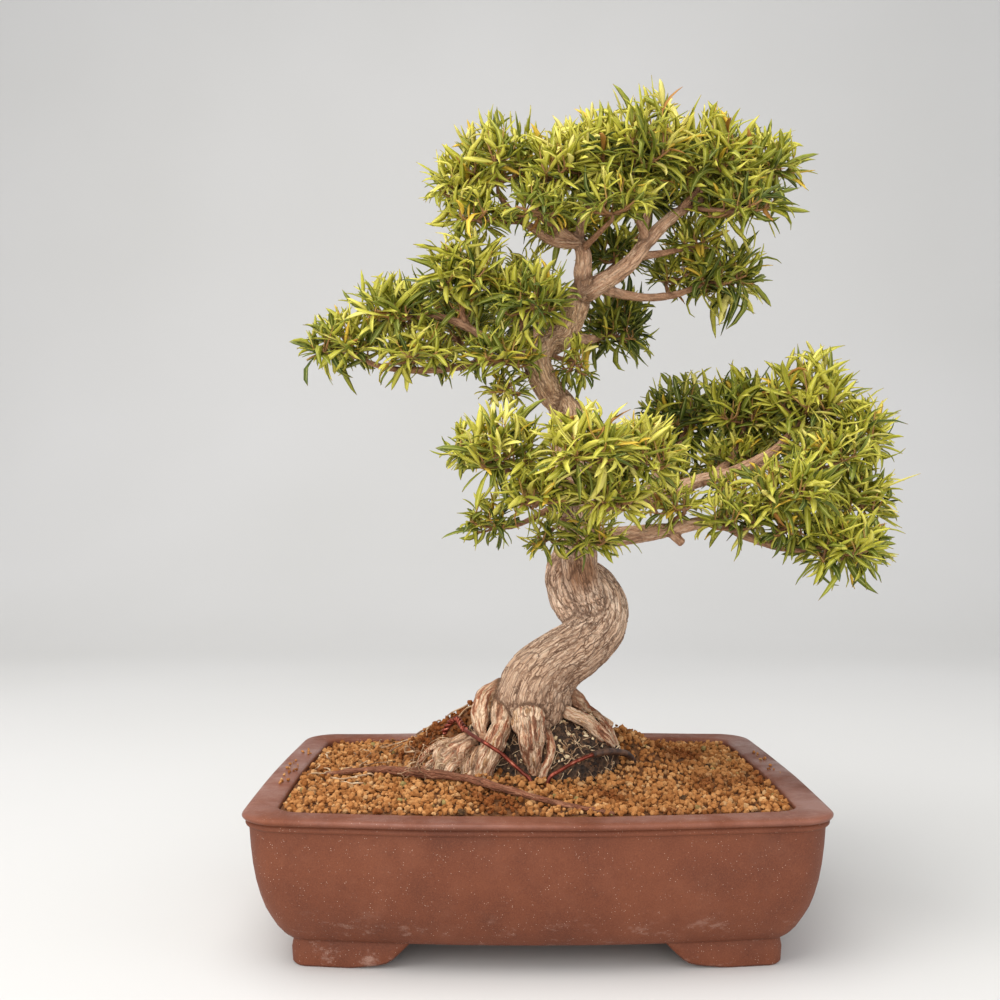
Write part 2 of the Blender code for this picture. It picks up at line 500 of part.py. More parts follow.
def shell(rows):
    """A closed solid from rows of (inset, height), with a flat cap on the first and last."""
    verts = []
    for inset, height in rows:
        verts += [(x, y, height) for x, y in outline(inset)]
    count = len(outline(0))
    faces = [tuple(reversed(range(count)))]
    for i in range(len(rows) - 1):
        for k in range(count):
            a, b = i * count + k, i * count + (k + 1) % count
            faces.append((a, b, b + count, a + count))
    last = (len(rows) - 1) * count
    faces.append(tuple(range(last, last + count)))
    return verts, faces


def foot(sign_x, sign_y):
    """A corner bracket: an L in plan whose arms curve up into the pot's underside."""
    half_x, half_y = POT_HALF_WIDTH - FOOT_INSET, POT_HALF_DEPTH - FOOT_INSET
    bow = FRONT_BOW if sign_y < 0 else BACK_BOW
    half_x -= SIDE_BOW
    half_y -= bow * FOOT_BOW
    radius = FOOT_CORNER
    stations = []
    for along, height in reversed(FOOT_STEPS[1:]):
        rise = bow * FOOT_BOW * (1 - ((half_x - along) / half_x) ** 2)
        stations.append(((half_x - radius - along, half_y + rise), (0, -1), height))
    for k in range(5):
        turn = pi / 2 * (1 - k / 4)
        place = (half_x - radius + radius * cos(turn), half_y - radius + radius * sin(turn))
        stations.append((place, (-cos(turn), -sin(turn)), 0.0))
    for along, height in FOOT_STEPS[1:]:
        run = along * FOOT_SHORT_ARM
        stations.append(((half_x, half_y - radius - run), (-1, 0), height))
    verts = []
    for (x, y), (inward_x, inward_y), height in stations:
        inner = (x + inward_x * FOOT_THICK, y + inward_y * FOOT_THICK)
        if 0 < -inward_x < 1:
            inner = (half_x - FOOT_THICK, half_y - FOOT_THICK)
        for (px, py), z in (((x, y), height), ((x, y), FOOT_TOP), (inner, FOOT_TOP), (inner, height)):
            verts.append((px * sign_x, py * sign_y, z))
    faces = [(0, 1, 2, 3)]
    for i in range(len(stations) - 1):
        for k in range(4):
            a, b = i * 4 + k, i * 4 + (k + 1) % 4
            faces.append((a, a + 4, b + 4, b))
    end = (len(stations) - 1) * 4
    faces.append((end + 3, end + 2, end + 1, end))
    return verts, faces


def upright(x, y, radius, low, high, sides):
    """A vertical rod."""
    return tube([(x, y, low, radius), (x, y, high, radius)], sides)


def make_pot():
    """The bowl with its lip and bead, four feet, two drain holes and four tie holes."""
    clay = material("clay", CLAY)
    pot = add_object("pot", *shell(POT_OUTSIDE + POT_INSIDE), clay)
    feet = [add_object("foot", *foot(sx, sy), clay) for sx in (-1, 1) for sy in (-1, 1)]
    for one in feet:
        main_body(one)
    combine(pot, feet, "UNION")
    low, high = FLOOR_UNDER - HOLE_REACH, FLOOR_TOP + HOLE_REACH
    holes = [add_object("hole", *upright(sx * DRAIN_X, 0, DRAIN_RADIUS, low, high, 16), clay)
             for sx in (-1, 1)]
    holes += [add_object("hole", *upright(sx * TIE_X, sy * TIE_Y, TIE_RADIUS, low, high, 8), clay)
              for sx in (-1, 1) for sy in (-1, 1)]
    combine(pot, holes, "DIFFERENCE")
    return pot


def box(x, y, z, size_x, size_y, size_z):
    """A plain box around a point."""
    corners = [(x + sx * size_x / 2, y + sy * size_y / 2, z + sz * size_z / 2)
               for sz in (-1, 1) for sx, sy in ((-1, -1), (1, -1), (1, 1), (-1, 1))]
    return corners, [(3, 2, 1, 0), (4, 5, 6, 7), (0, 1, 5, 4), (1, 2, 6, 5), (2, 3, 7, 6), (3, 0, 4, 7)]


def make_screen(name, x):
    """The plastic mesh that keeps the soil from falling through a drain hole."""
    middle = FLOOR_TOP + GAP + SCREEN_THICK / 2
    plastic = material("screen_plastic", SCREEN_PLASTIC)
    screen = add_object(name, *box(x, 0, middle, SCREEN_SIZE, SCREEN_SIZE, SCREEN_THICK), plastic)
    cell = (SCREEN_SIZE - SCREEN_BAR) / SCREEN_CELLS
    windows = []
    for i in range(SCREEN_CELLS):
        for k in range(SCREEN_CELLS):
            cx = x + (i - (SCREEN_CELLS - 1) / 2) * cell
            cy = (k - (SCREEN_CELLS - 1) / 2) * cell
            size = cell - SCREEN_BAR
            windows.append(add_object("window", *box(cx, cy, middle, size, size, HOLE_REACH), plastic))
    combine(screen, windows, "DIFFERENCE")


def soil_height(x, y):
    """Height of the soil's surface at a point of the plan."""
    blend = (y + POT_HALF_DEPTH) / (2 * POT_HALF_DEPTH)
    height = SOIL_FRONT + (SOIL_BACK - SOIL_FRONT) * blend
    for rise, mx, my, rx, ry in SOIL_MOUNDS:
        height += rise * exp(-((x - mx) / rx) ** 2 - ((y - my) / ry) ** 2)
    return height


def soil_shape():
    """The soil's solid: it fills the pot, with a small gap, up to its mounded surface."""
    walls = [(inset + SOIL_WALL_GAP, height + (GAP if height == FLOOR_TOP else 0))
             for inset, height in reversed(POT_INSIDE[2:])]
    top_inset = walls[-1][0]
    verts, faces = shell(walls)
    count = len(outline(0))
    faces.pop()
    edge = outline(top_inset)
    rings = [1.0] + SOIL_RINGS
    start = len(verts) - count
    for scale in rings:
        verts += [(x * scale, y * scale, soil_height(x * scale, y * scale)) for x, y in edge]
    for i in range(len(rings)):
        for k in range(count):
            a, b = start + i * count + k, start + i * count + (k + 1) % count
            faces.append((a, b, b + count, a + count))
    middle = len(verts)
    verts.append((0, 0, soil_height(0, 0)))
    last = middle - count
    faces += [(last + k, last + (k + 1) % count, middle) for k in range(count)]
    return verts, faces


def ball_shape(extra=0.0):
    """A lumpy ball of old soil."""
    verts, faces = [], []
    mx, my, mz = BALL_MIDDLE
    rx, ry, rz = BALL_RADII
    for i in range(1, BALL_RINGS):
        tilt = pi * i / BALL_RINGS
        for k in range(BALL_SIDES):
            turn = 2 * pi * k / BALL_SIDES
            lump = 1 + sum(rise * sin(waves * turn + drift * i) for waves, drift, rise in BALL_WAVES)
            verts.append((mx + (rx * lump + extra) * sin(tilt) * cos(turn),
                          my + (ry * lump + extra) * sin(tilt) * sin(turn),
                          mz + (rz * lump + extra) * cos(tilt)))
    for i in range(BALL_RINGS - 2):
        for k in range(BALL_SIDES):
            a, b = i * BALL_SIDES + k, i * BALL_SIDES + (k + 1) % BALL_SIDES
            faces.append((a, a + BALL_SIDES, b + BALL_SIDES, b))
    top, bottom = len(verts), len(verts) + 1
    verts += [(mx, my, mz + rz + extra), (mx, my, mz - rz - extra)]
    last = (BALL_RINGS - 2) * BALL_SIDES
    for k in range(BALL_SIDES):
        after = (k + 1) % BALL_SIDES
        faces.append((k, after, top))
        faces.append((last + after, last + k, bottom))
    return verts, split_quads(faces)


def root_cutters(mat):
    """Fatter copies of what stands in the soil: the trunk's foot, the roots and the wires."""
    routes = [(TRUNK["lower"][:5], TRUNK_SIDES)]
    routes += [(route, ROOT_SIDES) for route in ROOTS.values()]
    routes += [(route, WIRE_SIDES) for route in (WIRE_LEFT, WIRE_RIGHT, SLEEVE)]
    cutters = []
    for route, sides in routes:
        verts, faces = tube(route, sides, 1, ROOT_CLEARANCE)
        cutters.append(add_object("cutter", verts, split_quads(faces), mat))
    return cutters


def make_soil():
    """The akadama soil and, in its pocket, the ball of old soil, each hollowed for the roots."""
    akadama = material("akadama", AKADAMA)
    old = material("old_soil", OLD_SOIL)
    soil = add_object("soil", *soil_shape(), akadama)
    pocket = [add_object("cutter", *ball_shape(ROOT_CLEARANCE), akadama)]
    combine(soil, pocket, "DIFFERENCE")
    combine(soil, root_cutters(akadama), "DIFFERENCE")
    height = SCREEN_THICK + 3 * GAP
    seats = [add_object("cutter", *box(sx * DRAIN_X, 0, FLOOR_TOP + GAP + height / 2 - GAP,
                                       SCREEN_SIZE + 2 * GAP, SCREEN_SIZE + 2 * GAP, height), akadama)
             for sx in (-1, 1)]
    combine(soil, seats, "DIFFERENCE")
    ball = add_object("root_ball", *ball_shape(), old)
    combine(ball, root_cutters(old), "DIFFERENCE")


def make_tree():
    """Trunk, limbs, twigs and roots: one piece, as it grew."""
    bark = material("bark", BARK)
    shapes = [tube(route, TRUNK_SIDES) for route in TRUNK.values()]
    shapes += [tube(route, LIMB_SIDES) for route in LIMBS.values()]
    shapes += [tube(route, ROOT_SIDES) for route in ROOTS.values()]
    return fuse("tree", [(verts, split_quads(faces)) for verts, faces in shapes], bark)


def make_wires():
    """Copper tie wires, one with its ends twisted together, one run into a dark sleeve."""
    copper = material("copper", COPPER)
    sleeve = material("dark_plastic", DARK_PLASTIC)
    fuse("wire_left", [tube(WIRE_LEFT, WIRE_SIDES), tube(WIRE_TWIST, WIRE_SIDES)], copper)
    add_object("wire_right", *tube(WIRE_RIGHT, WIRE_SIDES), copper)
    start, second = Vector(SLEEVE[0][:3]), Vector(SLEEVE[1][:3])
    start += (second - start).normalized() * GAP
    add_object("wire_sleeve", *tube([(*start, SLEEVE[0][3])] + SLEEVE[1:], WIRE_SIDES), sleeve)


def blade(corners, way, length, width, extra=0.0):
    """A narrow pointed leaf off a four-sided root: its middle ring and its tip."""
    root = sum(corners, Vector()) / 4
    across = corners[1] - corners[0]
    across = (across - way * across.dot(way)).normalized()
    up = way.cross(across)
    half, thick = across * (width / 2 + extra), up * (LEAF_THICK / 2 + extra)
    middle = root + way * (length * LEAF_WIDEST)
    ring = [middle - half - thick, middle + half - thick, middle + half + thick, middle - half + thick]
    return ring, root + way * (length + 2 * extra) - Vector((0, 0, length * LEAF_DROOP))


def blade_faces(root, ring, tip):
    """The faces that carry a leaf out from its four root corners, given by their numbers."""
    faces = [(root[k], root[(k + 1) % 4], ring[(k + 1) % 4], ring[k]) for k in range(4)]
    return faces + [(ring[k], ring[(k + 1) % 4], tip) for k in range(4)]


def spread(k, count, turn):
    """Evenly spread directions, most of them up and out, some hanging a little."""
    height = 1.0 - SPREAD_DEPTH * (k + 0.5) / count
    flat = sqrt(max(0.0, 1 - height * height))
    angle = turn + GOLDEN * k
    return Vector((flat * cos(angle), flat * sin(angle), height))


def pad_shoots(limb, middle, half, draw):
    """The pad's own wood: a stem off the limb's end, and shoots that fan out from it."""
    end, before = Vector(limb[-1][:3]), Vector(limb[-2][:3])
    ahead = (end - before).normalized()
    middle = Vector(middle)
    first = end + ahead * GAP
    knee = first + ahead * STEM_LENGTH
    hub = knee + (middle - end) * STEM_TO_MIDDLE
    stem = [(*first, limb[-1][3]), (*knee, SHOOT_RADIUS), (*hub, SHOOT_RADIUS)]
    routes = [stem]
    turn = draw.uniform(0, 2 * pi)
    for k in range(SHOOTS):
        way = spread(k, SHOOTS, turn)
        reach = draw.uniform(*SHOOT_REACH)
        target = middle + Vector((way.x * half[0], way.y * half[1], way.z * half[2])) * reach
        start = first.lerp(hub, STEM_FORKS[0] - STEM_FORKS[1] * k / SHOOTS)
        bend = (start + target) / 2 - Vector((0, 0, SHOOT_SAG))
        routes.append([(*stop, SHOOT_RADIUS * taper)
                       for stop, taper in zip((start, bend, target), SHOOT_TAPER)])
    return routes


def leaf_way(ahead, corners, share, middle, half, draw):
    """Direction and length of a leaf: it leans out of the shoot and ends inside its pad."""
    root = sum(corners, Vector()) / 4
    side = (corners[1] - corners[0]).cross(corners[3] - corners[0]).normalized()
    lean = radians(LEAF_LEAN[0] + (LEAF_LEAN[1] - LEAF_LEAN[0]) * share) * draw.uniform(*LEAF_LEAN_DRAW)
    out = root - middle
    out = out / max(out.length, 1.0)
    way = ahead * cos(lean) + side * sin(lean) + out * LEAF_OUTWARD - Vector((0, 0, LEAF_SINK))
    way.normalize()
    length = draw.uniform(*LEAF_LENGTH)
    for trim in range(LEAF_TRIMS):
        tip = root + way * length - middle
        if sqrt(sum((tip[i] / half[i]) ** 2 for i in range(3))) > PAD_REACH:
            length *= LEAF_TRIM
    return way, length


def leafy_shoot(route, middle, half, taken, draw):
    """A shoot with its leaves drawn out of its own sides, each kept clear of what is taken."""
    line = smooth_route(route, SHOOT_STEPS)
    total = (line[-1][0] - line[0][0]).length
    shares = [0.0]
    for share in LEAF_SHARES:
        shares += [share - LEAF_ROOT / total, share]
    stations = []
    for share in shares:
        point, radius = line[round(share * (len(line) - 1))]
        stations.append((*point, radius))
    verts, faces = tube(stations, SHOOT_SIDES)
    ahead = (Vector(route[-1][:3]) - Vector(route[-2][:3])).normalized()
    leaves = []
    for j, share in enumerate(LEAF_SHARES):
        for k in (j % 2, j % 2 + 2):
            leaves.append((1 + (2 * j + 1) * SHOOT_SIDES + k, share))
    leaves.append((len(faces) - 1, 1.0))
    placed = []
    gone = []
    for number, share in leaves:
        root = faces[number]
        corners = [verts[i] for i in root]
        for attempt in range(LEAF_TRIES):
            way, length = leaf_way(ahead, corners, share, middle, half, draw)
            width = draw.uniform(*LEAF_WIDTH)
            ring, tip = blade(corners, way, length, width, GAP)
            test = [corner + way * (2 * GAP) for corner in corners] + ring + [tip]
            test_faces = [(3, 2, 1, 0)] + blade_faces(range(4), range(4, 8), 8)
            if clear_of((test, test_faces), taken + placed):
                placed.append(solid_tree(test, test_faces))
                ring, tip = blade(corners, way, length, width)
                first = len(verts)
                verts += ring + [tip]
                faces += blade_faces(root, range(first, first + 4), first + 4)
                gone.append(number)
                break
    faces = [face for i, face in enumerate(faces) if i not in gone]
    return (verts, faces), placed


def solid_tree(verts, faces):
    """A search tree of a shape's triangles, with the box around it."""
    points = [Vector(v) for v in verts]
    low = Vector([min(p[i] for p in points) for i in range(3)])
    high = Vector([max(p[i] for p in points) for i in range(3)])
    return BVHTree.FromPolygons(points, faces), low, high


def clear_of(shape, taken):
    """True where a shape crosses none of the shapes already placed."""
    search, low, high = solid_tree(*shape)
    for other, other_low, other_high in taken:
        if any(low[i] > other_high[i] or high[i] < other_low[i] for i in range(3)):
            continue
        if search.overlap(other):
            return False
    return True


def fitted(route, taken):
    """A shoot's route, shortened until it crosses nothing, or None."""
    start = Vector(route[0][:3])
    for share in SHOOT_SHORTER:
        shorter = [(*start.lerp(Vector(stop[:3]), share), stop[3]) for stop in route]
        if clear_of(tube(shorter, SHOOT_SIDES, 1, GAP), taken):
            return shorter
    return None


def make_sprays():
    """One leafy spray for each pad, its leaves kept clear of the wood and the other sprays."""
    green = material("leaf", LEAF)
    taken = [solid_tree(*tube(route, TRUNK_SIDES, 1, GAP)) for route in TRUNK.values()]
    taken += [solid_tree(*tube(route, LIMB_SIDES)) for route in LIMBS.values()]
    for number, (name, (limb, middle, half)) in enumerate(PADS.items()):
        draw = random.Random(100 + number)
        stem, *routes = pad_shoots(LIMBS[limb], middle, half, draw)
        routes = [fitted(route, taken) for route in routes]
        routes = [stem] + [route for route in routes if route]
        shapes = [tube(stem, SHOOT_SIDES)]
        placed = [solid_tree(*tube(route, SHOOT_SIDES)) for route in routes]
        for own, route in enumerate(routes[1:], 1):
            others = placed[:own] + placed[own + 1:]
            shape, leaves = leafy_shoot(route, Vector(middle), half, taken + others, draw)
            shapes.append(shape)
            placed += leaves
        fuse("spray_" + name, shapes, green)
        taken += placed


def stand_on_origin():
    """Move everything so that the origin is under the middle of the whole, at the feet."""
    solids = [obj for obj in bpy.context.scene.objects if obj.type == "MESH"]
    points = [vert.co for obj in solids for vert in obj.data.vertices]
    low = Vector([min(p[i] for p in points) for i in range(3)])
    high = Vector([max(p[i] for p in points) for i in range(3)])
    shift = Vector((-(low.x + high.x) / 2, -(low.y + high.y) / 2, -low.z))
    for obj in solids:
        obj.location = shift


for old in list(bpy.data.objects):
    bpy.data.objects.remove(old)
make_pot()
make_screen("drain_screen_left", -DRAIN_X)
make_screen("drain_screen_right", DRAIN_X)
make_soil()
make_tree()
make_wires()
make_sprays()
stand_on_origin()
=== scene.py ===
import random
from math import cos, exp, pi, radians, sin, sqrt

import bmesh
import bpy
import numpy as np
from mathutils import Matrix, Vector, noise


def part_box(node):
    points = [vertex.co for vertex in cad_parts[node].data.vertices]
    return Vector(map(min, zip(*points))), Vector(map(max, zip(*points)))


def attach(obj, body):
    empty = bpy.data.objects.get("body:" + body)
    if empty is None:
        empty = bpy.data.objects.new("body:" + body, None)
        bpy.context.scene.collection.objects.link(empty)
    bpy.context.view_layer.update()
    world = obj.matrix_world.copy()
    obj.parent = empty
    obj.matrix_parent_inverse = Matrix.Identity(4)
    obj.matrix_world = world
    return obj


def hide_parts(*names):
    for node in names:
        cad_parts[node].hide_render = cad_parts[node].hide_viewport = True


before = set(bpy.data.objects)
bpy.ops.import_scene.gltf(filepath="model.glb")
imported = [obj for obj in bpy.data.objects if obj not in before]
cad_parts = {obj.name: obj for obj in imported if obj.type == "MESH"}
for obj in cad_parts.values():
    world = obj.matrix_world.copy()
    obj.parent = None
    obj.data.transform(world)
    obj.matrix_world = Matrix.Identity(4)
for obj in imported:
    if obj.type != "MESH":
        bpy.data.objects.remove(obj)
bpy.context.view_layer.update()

# Pot
# An unglazed, red-brown stoneware bowl, pressed and fired in one piece: bowed sides, a rolled lip
# over a bead, a flat rim and four bracket feet. Sizes are in millimetres from the pot's middle.
MM = 0.001
pot_low, pot_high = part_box("pot")
POT_MIDDLE = Vector(((pot_low[0] + pot_high[0]) / 2, (pot_low[1] + pot_high[1]) / 2, pot_low[2]))
POT_HALF_WIDTH = 150.0
POT_HALF_DEPTH = 111.0
POT_HEIGHT = 80.5
POT_CORNER = 18.0
FRONT_BOW = 9.0
BACK_BOW = 5.0
SIDE_BOW = 2.5
FLOOR_UNDER = 13.0
FLOOR_TOP = 22.0
RIM_SAG = 0.7
POT_PROFILE = [(24.5, FLOOR_UNDER), (21.5, 14.2), (19.0, 16.5), (16.0, 20.5), (13.0, 26.0), (10.4, 31.5),
               (8.4, 37.5), (6.4, 45.5), (5.0, 54.0), (4.0, 63.0), (3.4, 71.5), (3.2, 73.2), (2.6, 73.6),
               (1.9, 74.1), (1.6, 74.9), (1.7, 75.7), (2.3, 76.4), (2.5, 76.8), (1.6, 77.0), (0.7, 77.4),
               (0.1, 78.2), (0.0, 78.9), (0.3, 79.6), (1.2, 80.2), (3.0, 80.5), (6.0, 80.6),
               (10.0, POT_HEIGHT), (14.2, 80.3), (15.5, 80.0), (16.2, 79.2), (16.4, 77.5), (16.2, 69.0),
               (17.0, 54.0), (20.0, 38.0), (26.0, 26.0), (31.0, FLOOR_TOP)]
RIM_WAVE = 0.35
RIM_MOVES_FROM = 50.0
RIM_MOVES_OVER = 30.0
FOOT_INSET = 22.5
FOOT_THICK = 11.0
FOOT_TOP = 16.0
FOOT_CORNER = 9.0
FOOT_SIDE_ARM = 0.85
FOOT_ARM = [(10.0, 0.0), (20.0, 0.0), (24.0, 0.3), (28.0, 0.9), (32.0, 1.3), (36.0, 1.9), (40.0, 3.0),
            (43.0, 4.8), (46.5, 8.0), (50.0, 11.5), (53.0, 14.5)]
CLAY_SCUFFS = (0.018, 0.036)
CLAY_RIM = (0.0765, 0.0785)
DRAIN_RADIUS = 9.0
DRAIN_X = 58.0
DRAIN_DEEP = 30.0
DRAIN_MIDDLE = 17.5
CRISP = 40.0


def place(points):
    """Millimetres about the pot's middle, as metres in the frame."""
    return np.asarray(points, dtype=float).reshape(-1, 3) * MM + np.array(POT_MIDDLE)


def add_piece(name, points, faces, smooth=CRISP):
    """A mesh piece at the origin, smooth but for edges sharper than an angle."""
    mesh = bpy.data.meshes.new(name)
    mesh.from_pydata(place(points).tolist(), [], faces)
    piece = bpy.data.objects.new(name, mesh)
    bpy.context.scene.collection.objects.link(piece)
    mesh.shade_smooth()
    if smooth:
        mesh.set_sharp_from_angle(angle=radians(smooth))
    return piece


def paint(piece, material, slot, *replaced):
    """Give a piece its material, its body and the solids that it stands for. The slot is not used."""
    piece.data.materials.clear()
    piece.data.materials.append(material)
    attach(piece, "root")
    if replaced:
        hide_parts(*replaced)


def outline(inset, corner_steps=8, long_steps=18, short_steps=12):
    """The pot's plan: a rounded box with bowed sides, pulled in by an inset."""
    half_x, half_y = POT_HALF_WIDTH - inset, POT_HALF_DEPTH - inset
    radius = max(POT_CORNER - 0.45 * inset, 6.0)
    middles = [(half_x - radius, half_y - radius), (radius - half_x, half_y - radius),
               (radius - half_x, radius - half_y), (half_x - radius, radius - half_y)]
    points = []
    for corner, (mx, my) in enumerate(middles):
        for k in range(corner_steps + 1):
            turn = (corner + k / corner_steps) * pi / 2
            points.append((mx + radius * cos(turn), my + radius * sin(turn)))
        start = points[-1]
        nx, ny = middles[(corner + 1) % 4]
        turn = (corner + 1) * pi / 2
        end = (nx + radius * cos(turn), ny + radius * sin(turn))
        steps = long_steps if corner % 2 == 0 else short_steps
        for k in range(1, steps):
            share = k / steps
            points.append((start[0] + (end[0] - start[0]) * share,
                           start[1] + (end[1] - start[1]) * share))
    bowed = []
    for x, y in points:
        bow = FRONT_BOW if y < 0 else BACK_BOW
        bowed.append((x * (1 - SIDE_BOW / half_x * (y / half_y) ** 2),
                      y * (1 - bow / half_y * (x / half_x) ** 2)))
    return bowed


def ring_faces(rows, count, start=0, inward=False):
    """Four-sided faces between the neighbouring rings of a row of closed rings."""
    faces = []
    for i in range(rows - 1):
        for k in range(count):
            a, b = start + i * count + k, start + i * count + (k + 1) % count
            faces.append((a, a + count, b + count, b) if inward else (a, b, b + count, a + count))
    return faces


def pot_shell():
    """The bowl, row by row from its underside over the rim to its floor."""
    points = []
    for inset, height in POT_PROFILE:
        lift = max(0.0, (height - RIM_MOVES_FROM) / RIM_MOVES_OVER)
        for x, y in outline(inset):
            sag = RIM_SAG * lift * (1 - (x / POT_HALF_WIDTH) ** 2) * max(0.0, -y / POT_HALF_DEPTH)
            wave = RIM_WAVE * lift * noise.noise(Vector((x, y, 0)) / 45)
            points.append((x, y, height - sag + wave))
    rows = len(POT_PROFILE)
    count = len(points) // rows
    ends = tuple(reversed(range(count))), tuple(range(len(points) - count, len(points)))
    return points, [ends[0], *ring_faces(rows, count), ends[1]]


def pot_foot(sign_x, sign_y):
    """A corner bracket: an L in plan whose arms curve up into the pot's underside."""
    bow = (FRONT_BOW if sign_y < 0 else BACK_BOW) * 0.9
    half_x = POT_HALF_WIDTH - FOOT_INSET - SIDE_BOW
    half_y = POT_HALF_DEPTH - FOOT_INSET - bow
    radius = FOOT_CORNER
    stations = []
    for along, height in reversed(FOOT_ARM):
        rise = bow * (1 - ((half_x - along) / half_x) ** 2)
        stations.append(((half_x - radius - along, half_y + rise), (0, -1), height))
    for k in range(9):
        turn = pi / 2 * (1 - k / 8)
        spot = (half_x - radius + radius * cos(turn), half_y - radius + radius * sin(turn))
        stations.append((spot, (-cos(turn), -sin(turn)), 0.0))
    for along, height in FOOT_ARM:
        stations.append(((half_x, half_y - radius - along * FOOT_SIDE_ARM), (-1, 0), height))
    points = []
    for (x, y), (in_x, in_y), height in stations:
        inner = (x + in_x * FOOT_THICK, y + in_y * FOOT_THICK)
        if 0 < -in_x < 1:
            inner = (half_x - FOOT_THICK, half_y - FOOT_THICK)
        ring = [((x + in_x * 1.2, y + in_y * 1.2), height), ((x, y), height + 1.2),
                ((x - in_x * 0.5, y - in_y * 0.5), height + (FOOT_TOP - height) * 0.5),
                ((x + in_x * 1.0, y + in_y * 1.0), FOOT_TOP), (inner, FOOT_TOP), (inner, height)]
        points += [(px * sign_x, py * sign_y, z) for (px, py), z in ring]
    size, count = len(ring), len(points)
    ends = tuple(range(size)), tuple(reversed(range(count - size, count)))
    return points, [ends[0], *ring_faces(len(stations), size, inward=True), ends[1]]


def outwards(piece):
    """Turn a closed mesh's faces to point out."""
    bm = bmesh.new()
    bm.from_mesh(piece.data)
    bmesh.ops.recalc_face_normals(bm, faces=bm.faces)
    bm.to_mesh(piece.data)
    bm.free()


def shaped(piece, kind, **values):
    """Run one modifier on a piece and keep what it makes."""
    step = piece.modifiers.new("step", kind)
    for key, value in values.items():
        setattr(step, key, value)
    bpy.context.view_layer.objects.active = piece
    bpy.ops.object.modifier_apply(modifier=step.name)


def join_or_cut(piece, tools, operation):
    """Join shapes to a piece, or cut them out of it, and remove them."""
    group = bpy.data.collections.new("tools")
    for tool in tools:
        outwards(tool)
        group.objects.link(tool)
    shaped(piece, "BOOLEAN", operation=operation, operand_type="COLLECTION", collection=group)
    for tool in tools:
        bpy.data.objects.remove(tool)
    bpy.data.collections.remove(group)
    piece.data.shade_smooth()
    piece.data.set_sharp_from_angle(angle=radians(CRISP))


def rgb(red, green, blue):
    """A colour given as screen values, as the linear values that a shader takes."""
    return tuple(c / 12.92 if c <= 0.04045 else ((c + 0.055) / 1.055) ** 2.4
                 for c in (red / 255, green / 255, blue / 255))


